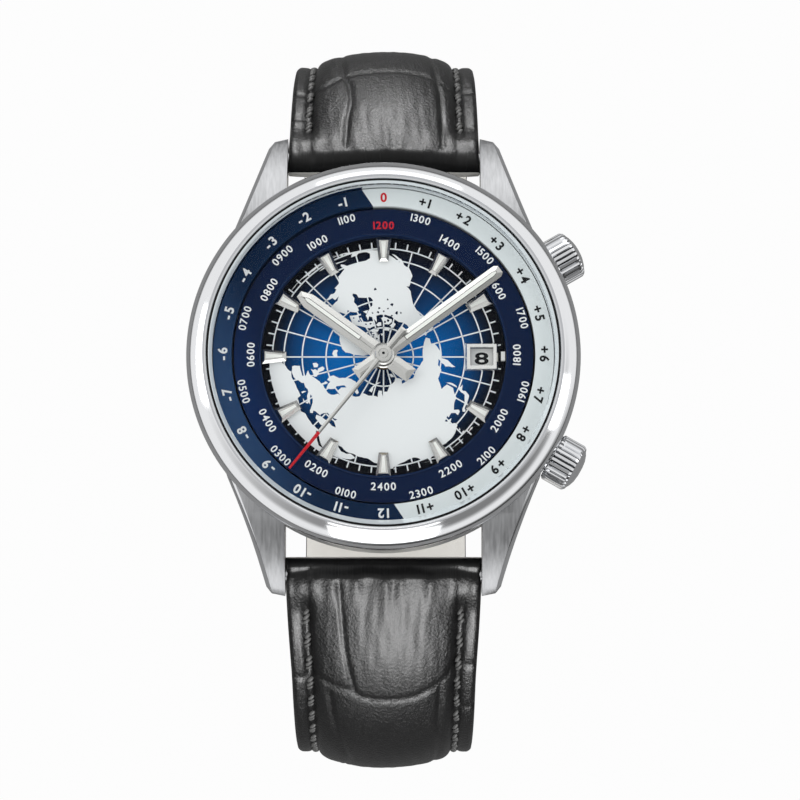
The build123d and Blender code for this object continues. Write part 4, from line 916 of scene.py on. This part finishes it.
def buildCrown(name, clockAngle):
    shape = crownShape
    rim = shape["radius"]
    outline = [(1.6, 0), (rim - 0.25, 0), (rim, 0.22), (rim, 1.0), (rim, 2.0), (rim, 2.66),
               (rim - 0.18, 2.94), (rim - 0.36, 3.04), (rim - 0.4, 3.01), (rim - 0.48, 3.06),
               (1.9, 3.29), (1.3, 3.5), (0.6, 3.59), (0.0, 3.61), (0.0, 1.9), (1.6, 1.9)]
    crown = turnPiece(name, outline, 6 * shape["flutes"])
    stepAngle = 360 / (6 * shape["flutes"])
    for vertex in crown.data.vertices:
        reach = math.hypot(vertex.co.x, vertex.co.y) * 1000
        step = math.degrees(math.atan2(vertex.co.y, vertex.co.x)) / stepAngle
        if reach > shape["fluted"] and round(step) % 6 < 2:
            deep = shape["grooveRadius"] if reach > shape["whole"] else min(reach, shape["grooveRadius"])
            vertex.co.x *= deep / reach
            vertex.co.y *= deep / reach
    direction = Vector((math.cos(math.radians(clockAngle)), math.sin(math.radians(clockAngle)), 0))
    crown.rotation_euler = direction.to_track_quat("Z", "Y").to_euler()
    crown.location = direction * mm(shape["base"]) + Vector((0, 0, mm(shape["height"])))
    for material in (polishedSteel, grooveShadeSteel):
        crown.data.materials.append(material)
    # the groove faces take the painted shade
    low, high = shape["grooveEnds"]
    for polygon in crown.data.polygons:
        turn = math.degrees(math.atan2(polygon.center.y, polygon.center.x)) / stepAngle
        grooved = math.floor(turn) % 6 == 0 and mm(low) < polygon.center.z < mm(high)
        outside = math.hypot(*polygon.center[:2]) > mm(shape["paintedShadeFrom"])
        polygon.material_index = 1 if grooved and outside else 0
    applyPlace(crown)
    smoothShade(crown, 24)
    return crown


for node, body, angle in (("crown_upper", "ring_crown", 30), ("crown_lower", "winding_crown", -30)):
    crown = buildCrown("fluted_" + node, angle)
    dress(crown, body, "polished_steel")
    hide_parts(node)
print("case and crowns ready")


# Printed figures: each glyph is made once and copied along the rings

glyphs = {}
capHeight, inkThickness = 0.73, 0.008
levels = {"date": 5.803, "dial": 6.503, "numberRing": 7.803, "zoneRing": 8.272, "ink": 0.012}


# A glyph is stood 1 high on the line through its middle, with its left side at zero; its width is kept.
def glyphMesh(character, bold):
    if (character, bold) not in glyphs:
        text = addPiece(bpy.ops.object.text_add, "glyph")
        text.data.body = character
        text.data.size = 1.0
        text.data.extrude = inkThickness
        text.data.offset = bold
        text.data.resolution_u = 4
        bpy.ops.object.convert(target="MESH")
        text = bpy.context.active_object
        across = [vertex.co.x for vertex in text.data.vertices]
        toMiddle = Matrix.Translation((-min(across), -capHeight / 2, 0))
        text.data.transform(Matrix.Scale(1 / capHeight, 4) @ toMiddle)
        glyphs[(character, bold)] = (text.data.copy(), (max(across) - min(across)) / capHeight)
        bpy.data.objects.remove(text)
    return glyphs[(character, bold)]


# With a value for wide the text runs outwards from the middle of the dial and is stretched by that value.
def addFigures(collected, text, ink, style, clockAngle, level, reach=None, inwards=False, wide=0):
    size, gap, bold = style["size"], style["gap"], style["bold"]
    reach = reach or style["reach"]
    widths = [glyphMesh(character, bold)[1] for character in text]
    start = -(sum(widths) + gap * (len(text) - 1)) / 2
    for character, width in zip(text, widths):
        place = (start + width / 2) * size
        start += width + gap
        turn = 0 if wide else math.degrees(place / reach) * (-1 if inwards else 1)
        angle = math.radians(clockAngle + turn)
        far = reach + place * wide
        copy = addCopy(glyphMesh(character, bold)[0], "figure")
        facing = -angle + (math.pi if inwards else 0) + (math.pi / 2 if wide else 0)
        centre = mm(far * math.sin(angle), far * math.cos(angle), levels[level] + levels["ink"])
        flatten = Matrix.Diagonal((size * (wide or 1) / 1000, size / 1000, 0.001, 1))
        middle = Matrix.Translation((-width / 2, 0, 0))
        copy.data.transform(Matrix.Translation(centre) @ Matrix.Rotation(facing, 4, "Z") @ flatten @ middle)
        copy.data.materials.append(ink)
        collected.append(copy)


# Turning ring: 0 in red at 12, plus figures on the pale half and minus figures on the navy half.
zoneFigures = {"size": 1.05, "reach": 17.98, "gap": 0.3, "bold": 0.03}
collected = []
for hour in range(24):
    text, ink = ("+%d" % hour, blackPrint) if hour < 12 else ("-%d" % (24 - hour), whitePrint)
    if hour == 0:
        text, ink = "0", redPrint
    elif hour == 12:
        text = "12"
    addFigures(collected, text, ink, zoneFigures, hour * 15, "zoneRing")
dress(joinAll(collected, "zone_ring_figures"), "zone_ring", "ring_navy")

# Number ring: plain four-figure hours in two staggered rows. Those of the lower left face the other way.
ringFigures = {"size": 0.88, "outer": 16.12, "inner": 14.88, "gap": 0.18, "bold": 0.016}
collected = []
for place in range(24):
    clockAngle = place * 15
    reach = ringFigures["outer" if place % 2 else "inner"]
    text = "%02d00" % ((place + 12 - 1) % 24 + 1)
    ink = whitePrint if place else redPrint
    inwards = 87 < clockAngle < 266
    addFigures(collected, text, ink, ringFigures, clockAngle, "numberRing", reach, inwards)
dress(joinAll(collected, "number_ring_figures"), "case", "ring_navy")

# Date disc: the days 1 to 31, one of which stands upright in the window. Single figures are cut wide.
dateFigures = {"size": 1.36, "reach": 11.0, "gap": 0.12, "bold": 0.022, "showing": 8, "single": 1.75,
               "double": 0.95}
collected = []
for day in range(1, 32):
    clockAngle = 90 + (day - dateFigures["showing"]) * 360 / 31
    wide = dateFigures["single" if day < 10 else "double"]
    addFigures(collected, str(day), blackPrint, dateFigures, clockAngle, "date", wide=wide)
dress(joinAll(collected, "date_disc_figures"), "date", "date_white")
print("figures ready")


# Dial printing: the map, its grid and the minute track

globe = {"radius": 12.89, "turn": 195.0, "line": 0.15, "step": 15, "coast": 0.05}

# Coastlines as (longitude, latitude), written down from general geography.
land = {
    "northAmerica": [(-168, 65.6), (-162, 66.5), (-166, 68.3), (-163, 69.5), (-157, 71.3), (-150, 70.5),
        (-141, 69.6), (-134, 69.6), (-128, 70.3), (-122, 69.8), (-115, 68.5), (-108, 68), (-101, 67.8),
        (-95, 68.2), (-94, 71.8), (-90, 69.2), (-86, 67.5), (-82, 69.5), (-82, 66.5), (-87, 64.5),
        (-93, 62), (-94.5, 59), (-92.5, 57), (-88, 56.7), (-82.5, 55.2), (-82, 52.8), (-79.5, 51.3),
        (-78.5, 52.5), (-79, 54.5), (-77, 56.5), (-78, 59), (-77.5, 62.3), (-73.5, 62.3), (-70, 60.9),
        (-68, 58.6), (-64.5, 60.3), (-61.5, 57), (-57.5, 54.5), (-56, 52), (-60, 50.2), (-66, 50.2),
        (-69, 48.2), (-65, 48.8), (-64.5, 46.5), (-61, 45.6), (-65.5, 43.6), (-67, 45), (-70.5, 43.3),
        (-70, 41.8), (-74, 40.6), (-75.5, 37.5), (-76, 35.2), (-79, 33.3), (-81.3, 31.3), (-80.1, 27),
        (-80.6, 25.2), (-82, 26.8), (-83.8, 30), (-86.5, 30.4), (-89.5, 30.1), (-90.5, 29.2),
        (-94.5, 29.5), (-97.3, 27.5), (-97.5, 24), (-97.5, 21.5), (-95.8, 18.8), (-94, 18.2),
        (-91.5, 18.5), (-90.4, 21), (-87.2, 21.4), (-87.8, 18.3), (-88.6, 15.8), (-83.4, 15),
        (-83.7, 11.2), (-81.5, 9), (-79.5, 9.5), (-77.3, 8.5), (-75.5, 10.6), (-72, 12.2), (-71.5, 11),
        (-68, 10.6), (-62.5, 10.6), (-60.5, 8.5), (-57, 6), (-52, 4.7), (-50, 0), (-80, 0), (-77.5, 3.8),
        (-77.5, 7), (-80, 7.4), (-83, 8.3), (-85.7, 10.2), (-87.5, 13), (-92, 14.4), (-94.5, 16.2),
        (-99, 16.7), (-103.5, 18.3), (-105.5, 20.5), (-105.7, 22.5), (-109, 25.7), (-112.5, 29.5),
        (-114.7, 31.7), (-113, 28.5), (-110, 24), (-109.5, 23), (-112.2, 25), (-115, 28), (-116.5, 31),
        (-117.2, 33), (-120.6, 34.6), (-122.5, 37.5), (-124.3, 40.4), (-124.1, 44), (-124.6, 48.3),
        (-122.5, 48.8), (-127, 51), (-130, 54.5), (-133.5, 57.5), (-137, 58.8), (-141, 60), (-146, 60.8),
        (-149, 59.8), (-152, 61), (-154, 59), (-158, 56.5), (-163.5, 54.8), (-160, 57.5), (-157.5, 58.7),
        (-162, 59), (-165.5, 61.5), (-163.5, 63), (-161, 64.5), (-166, 64.5)],
    "greenland": [(-73, 78.2), (-68, 76), (-60, 76), (-56, 73), (-54, 70.5), (-51, 69), (-53.5, 66.5),
        (-51.5, 64), (-48, 61), (-43, 60), (-40.5, 65), (-36, 65.8), (-26, 68.5), (-22, 70.5),
        (-21.5, 73), (-19, 76), (-18, 80), (-30, 83.4), (-45, 82), (-60, 82), (-67, 80.5)],
    "eurasiaAfrica": [(-5.6, 36), (-8.9, 37), (-9.4, 38.8), (-8.8, 43), (-1.8, 43.4), (-1.2, 46),
        (-4.7, 48.2), (-1.6, 48.7), (1.6, 50.8), (4.5, 52.5), (8.5, 53.8), (8.2, 57), (10.6, 57.7),
        (10, 54.6), (12.5, 54.4), (18.5, 54.7), (21, 55.5), (23, 57), (24.3, 59.2), (28, 59.7),
        (22, 60.2), (21.5, 63), (25, 65.2), (21.5, 65), (17.3, 61), (18.8, 59.8), (16.5, 57), (14, 55.5),
        (11.5, 57.5), (10.5, 59.2), (7.5, 58), (5.2, 60), (5.5, 62.3), (11, 64.7), (15, 68), (20, 70),
        (27, 71), (31, 70.3), (41, 67.5), (40, 66.2), (34, 66.8), (37, 64), (40.5, 64.6), (44, 66),
        (44.5, 68.3), (54, 68.5), (60, 69.2), (67, 69), (67, 72.5), (72.5, 72.5), (73.5, 68.5), (75, 72),
        (81, 72), (87, 75), (98, 76.3), (104, 77.7), (113, 75.8), (109, 73.3), (121, 73), (129, 71.5),
        (140, 72.3), (152, 71), (160, 69.7), (171, 70), (180, 69), (188, 67), (190, 66), (187, 64.3),
        (181, 64.5), (179, 62.5), (170, 60), (164, 60), (162, 56), (157, 51), (156, 57), (163, 61.5),
        (156.5, 61.5), (152, 59), (143, 59.3), (135.5, 54.7), (141, 53), (140.5, 48.5), (135, 43.3),
        (130.7, 42.3), (127.5, 39.8), (129.4, 37), (129, 35.2), (126.4, 34.4), (126.5, 37.5),
        (124.8, 39.8), (121.5, 39), (121.8, 40.8), (118, 39), (119, 37.3), (122.5, 37), (119.3, 34.8),
        (121.8, 31.7), (121.8, 28.5), (119, 25.5), (116, 22.8), (110.5, 21), (108.3, 21.6), (106, 19.5),
        (109, 13.5), (107.5, 10.5), (105, 8.7), (104.8, 10.5), (102, 12.3), (100.5, 13.4), (99.3, 10),
        (101.5, 6.8), (103.5, 4), (104.2, 1.4), (101.3, 2.9), (98.5, 8), (98, 15), (94.5, 16), (94, 19),
        (91.5, 22.6), (88, 21.7), (86.5, 20), (82.3, 16.7), (80.2, 13.5), (79.9, 10.3), (77.5, 8.1),
        (76, 10.8), (73.5, 16.5), (72.7, 20.5), (70, 21), (69, 22.3), (67, 24.8), (61.5, 25.2),
        (57, 26.8), (54, 26.6), (50.5, 29.5), (48, 30), (49, 27.5), (51.3, 24.5), (54.5, 24.2),
        (56.3, 26), (59.7, 22.5), (57.5, 19), (55, 17), (52, 15.5), (45, 12.8), (43.3, 13), (42, 17),
        (39, 21.5), (35, 28), (34.9, 29.5), (32.6, 29.9), (34, 27), (35.7, 23.8), (37.3, 20.5),
        (38.6, 18), (39.8, 15.3), (43.2, 12), (44.5, 10.5), (51.2, 11.9), (50.5, 9), (48, 4.5),
        (44, 1.2), (42.8, 0), (9.4, 0), (9.7, 3.5), (8.5, 4.7), (6, 4.3), (4.3, 6.3), (1, 5.9),
        (-2, 4.8), (-7.6, 4.4), (-11.5, 6.9), (-13.3, 9), (-16.7, 12.4), (-17.5, 14.7), (-16.3, 19),
        (-17, 21.2), (-14.5, 26), (-11, 28.8), (-9.7, 31.3), (-6.5, 34.2), (-5.9, 35.8), (-2, 35.2),
        (5, 36.8), (10.5, 37.2), (11, 34), (15.2, 32.3), (19, 30.4), (21.6, 32.8), (25, 31.7),
        (29, 30.9), (32.3, 31.2), (34.4, 31.4), (35.9, 36), (36.2, 36.8), (32.5, 36.1), (30.5, 36.6),
        (27.5, 37), (26.3, 39.3), (29, 41), (31.5, 41.3), (35, 42), (38.5, 41), (41.5, 41.6), (38, 44.5),
        (39, 47), (35, 46.2), (33.5, 44.5), (32.5, 46), (30.5, 46.3), (28.7, 44), (28, 42), (28.4, 41.2),
        (26, 40.8), (24, 40.5), (22.9, 39.5), (24, 38), (22.8, 36.5), (21.5, 37.5), (19.5, 41),
        (18.5, 42.5), (15, 44.5), (13.7, 45.6), (12.4, 44.8), (13.6, 43.5), (16, 41.9), (18.5, 40.2),
        (16.8, 40.4), (17.1, 39), (15.8, 38), (15.7, 40), (12.5, 41.6), (10.3, 43.8), (8.5, 44.2),
        (6.5, 43.2), (3.2, 43.2), (3, 41.8), (0, 39.5), (-0.5, 38), (-2.2, 36.8)],
    "iceland": [(-24, 65.5), (-22.5, 64), (-18.5, 63.4), (-14, 64.8), (-16, 66.4), (-20, 65.9),
        (-23, 66.4)],
    "britain": [(-5.5, 50.1), (1.3, 51.2), (1.6, 52.8), (-1.5, 55), (-2, 57.5), (-4, 58.6), (-6, 57.5),
        (-4.8, 54.8), (-3, 54), (-4.8, 52.8), (-4.2, 51.5)],
    "ireland": [(-9.8, 51.8), (-6.3, 52.3), (-6, 54.5), (-8.3, 55.2), (-10, 54)],
    "novayaZemlya": [(52, 71), (57, 70.7), (57, 73.5), (62, 75.5), (69, 77), (60, 76.3), (54, 73.5)],
    "svalbard": [(11, 79.5), (16, 76.7), (24, 80), (20, 80.5)],
    "severnayaZemlya": [(95, 79), (103, 78.5), (100, 80.5), (92, 80.8)],
    "newSiberia": [(138, 74), (145, 74), (149, 75.2), (140, 76)],
    "sakhalin": [(142.4, 53.8), (143.8, 50), (143, 47), (142, 46.2), (142.2, 50)],
    "japan": [(140, 42), (141.8, 45.3), (145.3, 43.3), (142, 42.4), (141.5, 41.2), (142, 39.5),
        (141, 37), (140.5, 35.5), (136.9, 34.2), (135.5, 33.6), (132, 33), (131.5, 31.4), (130.3, 31.4),
        (129.8, 33), (131, 34.6), (135, 35.7), (137, 37.3), (139.5, 38.8), (140, 40.5)],
    "taiwan": [(120.3, 23), (121.5, 25.2), (121, 22.2)],
    "luzon": [(120.3, 16), (120.8, 18.5), (122.2, 18.3), (121.6, 15), (124, 13), (121, 13.8)],
    "mindanao": [(122, 7), (125.5, 6), (126.4, 8), (125.5, 11.5), (124, 10)],
    "borneo": [(109.5, 1.8), (113, 3.5), (117, 7), (119, 5), (117.8, 1), (117.5, 0), (109, 0)],
    "sumatra": [(95.3, 5.6), (98, 4.2), (101, 2), (103.5, 0), (100, 0), (97, 2.5)],
    "ceylon": [(79.8, 8.5), (80.3, 6), (81.8, 7.3), (80.5, 9.7)],
    "cuba": [(-84.8, 22), (-82, 23.2), (-77, 21.8), (-74.3, 20.2), (-77.5, 19.9), (-78, 20.8),
        (-82, 22.2)],
    "hispaniola": [(-74.3, 18.5), (-73, 19.9), (-68.5, 18.7), (-71.5, 17.7)],
    "newfoundland": [(-59.2, 47.7), (-56.5, 51.5), (-53, 48.5), (-53.5, 46.7)],
    "baffin": [(-80, 73.7), (-72, 71.5), (-67, 69.5), (-62, 66.6), (-65, 63), (-66, 62), (-72, 63.8),
        (-78, 64.5), (-73, 66.5), (-73, 68.5), (-80, 70), (-89, 70.8), (-89, 73.5)],
    "victoria": [(-117, 70), (-105, 69), (-101.5, 69.8), (-105, 73), (-114, 73), (-118, 71.5)],
    "banks": [(-125, 72), (-120, 71.2), (-115.8, 73.6), (-123, 74.4)],
    "ellesmere": [(-89, 76.5), (-79, 76.3), (-75, 78.5), (-65, 81.5), (-70, 83), (-90, 82), (-89, 79)],
    "devon": [(-96, 75.5), (-80, 74.8), (-80, 76), (-92, 76.8)],
    "melville": [(-117, 75), (-107, 74.9), (-106, 76.4), (-117, 76.3)],
    "axel": [(-95, 78.2), (-91, 78.6), (-93, 81)],
    "somerset": [(-101, 72), (-97, 71.9), (-92, 73), (-95, 74), (-101, 73.8)],
    "southampton": [(-87, 64), (-81, 63.8), (-84, 65.8)],
    "ringnes": [(-104, 78), (-98, 78), (-101, 79.5)],
    "patrick": [(-122, 76), (-117.5, 76.5), (-119, 77.4)],
    "sicily": [(12.5, 38), (15.5, 38), (15, 36.8)],
    "sardinia": [(8.4, 39), (9.6, 39.3), (9.4, 42.8), (8.5, 41)],
}


def polarPoint(longitude, latitude):
    # the globe seen from above the pole, each point dropped straight onto the dial
    reach = globe["radius"] * math.sin(math.radians(90 - latitude))
    angle = math.radians(longitude + globe["turn"])
    return Vector((reach * math.cos(angle), reach * math.sin(angle)))


def coastline(points):
    # steps along the equator follow the globe's edge, and long straight stretches get a ragged shore
    shore = []
    for (lon0, lat0), (lon1, lat1) in zip(points, points[1:] + points[:1]):
        if lat0 <= 0.5 and lat1 <= 0.5:
            steps = max(1, int(abs(lon1 - lon0) / 4))
            shore += [polarPoint(lon0 + (lon1 - lon0) * k / steps, 0) for k in range(steps)]
            continue
        start, end = polarPoint(lon0, lat0), polarPoint(lon1, lat1)
        steps = max(1, int((end - start).length / 0.28))
        aside = Vector((-(end - start).y, (end - start).x)).normalized()
        for k in range(steps):
            wobble = random.uniform(-1, 1) * globe["coast"] * (k > 0)
            shore.append(start.lerp(end, k / steps) + aside * wobble)
    return shore


def buildLand():
    curve = bpy.data.curves.new("land_outline", "CURVE")
    curve.dimensions = "2D"
    curve.fill_mode = "BOTH"
    curve.extrude = mm(inkThickness)
    for points in land.values():
        shore = coastline(points)
        spline = curve.splines.new("POLY")
        spline.points.add(len(shore) - 1)
        for point, place in zip(spline.points, shore):
            point.co = (place.x / 1000, place.y / 1000, 0, 1)
        spline.use_cyclic_u = True
    outline = bpy.data.objects.new("map_land", curve)
    bpy.context.scene.collection.objects.link(outline)
    selectOnly(outline)
    bpy.ops.object.convert(target="MESH")
    outline = bpy.context.active_object
    outline.location.z = mm(levels["dial"] + 0.03)
    applyPlace(outline)
    return outline


dress(buildLand(), "case", "dial_blue", whitePrint)

# Small lakes and sounds that break up the north, as (longitude, latitude, width in mm).
lakes = [(-121, 66, 0.34), (-114, 61.8, 0.34), (-110, 64.5, 0.2), (-100, 64.2, 0.24), (-105, 66, 0.2),
         (-98, 66.4, 0.22), (-91, 66.3, 0.2), (-75, 65.6, 0.24), (-71, 67.4, 0.24), (-77, 70.8, 0.2),
         (-112, 71, 0.26), (-107, 71.9, 0.2), (-68, 64.4, 0.2), (-85, 80, 0.2), (-78, 78.4, 0.2),
         (-88, 68.6, 0.2), (-103, 68.9, 0.2), (-116, 68.2, 0.2), (-84, 71.6, 0.22), (-81, 77.6, 0.2),
         (-126, 65.2, 0.18), (-109, 59.3, 0.26), (-98, 52.6, 0.3), (-94, 77.8, 0.18)]
waters = []
for longitude, latitude, width in lakes:
    middle = polarPoint(longitude, latitude)
    shore = []
    for corner in range(9):
        reach = width / 2 * random.uniform(0.6, 1.4)
        angle = corner * math.tau / 9
        shore.append((middle.x + reach * math.cos(angle), middle.y + reach * math.sin(angle)))
    waters.append(cutPiece("water", shore, levels["dial"] + 0.039, 0.006))
dress(joinAll(waters, "map_water"), "case", "dial_blue", dialLacquer)

# The grid stops at the frame of the date window.
gridShape = {"bottom": levels["dial"] + 0.004, "thick": 0.014, "inner": 1.5, "outer": 13.2}
gridParts = []


def addBar(name, inner, outer, clockAngle, width):
    outline = [(inner, -width / 2), (outer, -width / 2), (outer, width / 2), (inner, width / 2)]
    bar = cutPiece(name, outline, gridShape["bottom"], gridShape["thick"])
    turnToClock(bar, clockAngle)
    gridParts.append(bar)


frameLow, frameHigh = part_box("date_frame")
bottom, top, edge = gridShape["bottom"], gridShape["bottom"] + gridShape["thick"], globe["line"] / 2
for colatitude in range(globe["step"], 90, globe["step"]):
    reach = globe["radius"] * math.sin(math.radians(colatitude))
    section = [(reach - edge, bottom), (reach + edge, bottom), (reach + edge, top), (reach - edge, top)]
    circle = turnPiece("grid_circle", section, 144)
    if mm(reach) > frameLow.x:
        windowSize = (frameHigh.x - frameLow.x, frameHigh.y - frameLow.y, 0.01)
        cutAway(circle, [boxCutter((frameLow + frameHigh) / 2, windowSize)])
    gridParts.append(circle)
edgeReach = globe["radius"] * math.sin(math.radians(75))
for number in range(24):
    outer = frameLow.x * 1000 if number == 6 else edgeReach
    addBar("meridian", gridShape["inner"], outer, number * 15, globe["line"])
for minute in range(60):
    if minute % 5:
        addBar("minute", edgeReach, gridShape["outer"], minute * 6, globe["line"] + 0.01)
dress(joinAll(gridParts, "map_grid"), "case", "dial_blue", gridPrint)
print("map ready")


# Hands and markers

# Faceted baton hands: two slopes meet at a flat ridge, where the luminous strip lies on a black outline that
# is painted shadow of its slot.
handShapes = {
    "hour": {
        "body": "hours", "angle": 306.5, "bottom": 7.253, "length": 11.8, "width": 1.78,
        "point": 1.35, "tip": 0.45, "hub": 1.45, "lume": (3.3, 10.9),
    },
    "minute": {
        "body": "minutes", "angle": 53.4, "bottom": 7.953, "length": 16.3, "width": 1.48,
        "point": 0.4, "tip": 0.6, "hub": 1.2, "lume": (3.1, 15.7),
    },
}
bladeShape = {
    "tail": 3.85, "thick": 0.17, "facet": 0.36, "rise": 0.16, "ridge": 0.325, "strip": 0.2, "rim": 0.06,
}


def hubDisc(name, radius, bottom, top):
    section = [(0, bottom), (radius, bottom), (radius, top - 0.08), (radius - 0.1, top), (0, top)]
    return turnPiece(name, section, 72)


for key, shape in handShapes.items():
    half, tip = shape["width"] / 2, shape["tip"] * shape["width"] / 2
    tail, shoulder = -bladeShape["tail"], shape["length"] - shape["point"]
    outline = [(tail, -half), (shoulder, -half), (shape["length"], -tip), (shape["length"], tip),
               (shoulder, half), (tail, half)]
    facet = bladeShape["facet"] * shape["width"]
    blade = cutPiece("blade", outline, shape["bottom"], bladeShape["thick"], facet, bladeShape["rise"])
    turnToClock(blade, shape["angle"])
    hub = hubDisc("hub", shape["hub"], shape["bottom"] + 0.02, shape["bottom"] + 0.35)
    hand = joinAll([blade, hub], key + "_blade")
    smoothShade(hand, 12)
    dress(hand, shape["body"], "polished_steel", cutRhodium)
    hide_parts(key + "_hand")
    start, end = shape["lume"]
    ridge, strip, rim = shape["bottom"] + bladeShape["ridge"], bladeShape["strip"], bladeShape["rim"]
    # a black outline round the strip: painted shadow of the slot
    outline = [(start - rim, -strip - rim), (end - 0.4, -strip - rim), (end + rim, -0.1), (end + rim, 0.1),
               (end - 0.4, strip + rim), (start - rim, strip + rim)]
    slot = cutPiece(key + "_slot", outline, ridge, 0.012)
    outline = [(start, -strip), (end - 0.4, -strip), (end, -0.08), (end, 0.08), (end - 0.4, strip),
               (start, strip)]
    lume = cutPiece(key + "_lume", outline, ridge, 0.03, facet=0.05, rise=0.015)
    for part, material in ((slot, blackPrint), (lume, lumePaint)):
        turnToClock(part, shape["angle"])
        dress(part, shape["body"], "marker_white", material)

# Seconds hand: a needle with a wide tail and a red tip. A small black disc in the hub's hole is painted
# shade, a dark dot at the arbor's end.
needleShape = {"angle": 218.8, "bottom": 8.453, "thick": 0.11, "red": 11.4, "length": 16.65, "tail": -3.7,
               "hubTop": 8.853}


def needlePart(name, start, startHalf, end, endHalf, facet, rise):
    outline = [(start, -startHalf), (end, -endHalf), (end, endHalf), (start, startHalf)]
    part = cutPiece(name, outline, needleShape["bottom"], needleShape["thick"], facet, rise)
    turnToClock(part, needleShape["angle"])
    return part


bottom, hubTop = needleShape["bottom"], needleShape["hubTop"]
needle = needlePart("needle", 0, 0.27, needleShape["red"], 0.2, 0.16, 0.08)
tailBar = needlePart("tail", needleShape["tail"], 0.42, 0, 0.3, 0.24, 0.08)
secondsHub = turnPiece("seconds_hub", [(0, bottom), (0.94, bottom), (0.94, 8.70), (0.9, 8.76), (0.55, 8.80),
                                       (0.5, hubTop), (0.16, hubTop), (0.12, 8.80), (0, 8.80)], 72)
needleHand = joinAll([needle, tailBar, secondsHub], "seconds_blade")
smoothShade(needleHand, 15)
dress(needleHand, "seconds", "seconds_paint", cutRhodium)
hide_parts("seconds_hand")
redTip = needlePart("seconds_red_tip", needleShape["red"], 0.2, needleShape["length"], 0.13, 0.1, 0.06)
dress(redTip, "seconds", "seconds_paint", redPaint)
# painted shade: a black disc in the hub's hole
arborPaintedShade = hubDisc("seconds_arbor_end", 0.13, hubTop - 0.02, hubTop + 0.012)
dress(arborPaintedShade, "seconds", "seconds_paint", blackPrint)

# Applied markers: tapered batons with sloping sides and a white line down the middle. At 3 o'clock the window
# takes their place.
markerShape = {"inner": 10.9, "outer": 13.6, "halves": (0.525, 0.875), "height": 0.34, "facet": 0.3,
               "rise": 0.26, "lineInset": 0.42, "lineHalves": (0.12, 0.26)}
markers, inlays = [], []


def tapered(inner, outer, halfWidths):
    near, far = halfWidths
    return [(inner, -near), (outer, -far), (outer, far), (inner, near)]


for hour in (0, 1, 2, 4, 5, 6, 7, 8, 9, 10, 11):
    shape = markerShape
    outline = tapered(shape["inner"], shape["outer"], shape["halves"])
    baton = cutPiece("baton", outline, levels["dial"], shape["height"], shape["facet"], shape["rise"])
    inset = shape["lineInset"]
    outline = tapered(shape["inner"] + inset, shape["outer"] - inset, shape["lineHalves"])
    inlay = cutPiece("inlay", outline, levels["dial"] + shape["height"] + shape["rise"] - 0.005, 0.03)
    for part in (baton, inlay):
        turnToClock(part, hour * 30)
    markers.append(baton)
    inlays.append(inlay)
batons = joinAll(markers, "hour_batons")
dress(batons, "case", "polished_steel", cutRhodium)
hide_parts("hour_markers")
dress(joinAll(inlays, "hour_baton_lines"), "case", "marker_white", lumePaint)

# Date frame: a small tray with sloping inner walls and a bright rim. Its colour is painted paler than the
# facets as a painted highlight.
dateFrame = copyNode("date_frame", "date_tray", 0.06, 2, 25)
dress(dateFrame, "case", "polished_steel", frameRhodiumPaintedBright)
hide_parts("date_frame")
print("hands and markers ready")


# CAD nodes that keep their shape

finishes = {
    dialLacquer: ["dial"],
    ringNavy: ["number_ring"],
    trimNavy: ["trim_ring"],
    zoneLacquer: ["time_zone_ring"],
    dateWhite: ["date_disc"],
    lumePaint: ["three_marker"],
    polishedSteel: ["crown_tube_upper", "crown_tube_lower"],
    turnedSteel: ["case_back", "spring_bar_upper", "spring_bar_lower", "ring_stem", "ring_pinion",
                  "winding_stem", "winding_pinion", "movement_screws"],
    blastedNickel: ["main_plate", "train_bridge", "balance_cock", "rotor", "rotor_bearing",
                    "movement_clamps"],
    grainedBrass: ["barrel", "balance_wheel", "minute_wheel", "hour_wheel", "cannon_pinion",
                   "seconds_arbor"],
    sealRubber: ["crystal_seal", "back_seal", "crown_seal_upper", "crown_seal_lower"],
    spacerPlastic: ["movement_ring"],
}
for material, nodes in finishes.items():
    for node in nodes:
        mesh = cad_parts[node].data
        if not mesh.materials:
            mesh.materials.append(material)
        for place in range(len(mesh.materials)):
            mesh.materials[place] = material
print("CAD nodes dressed")
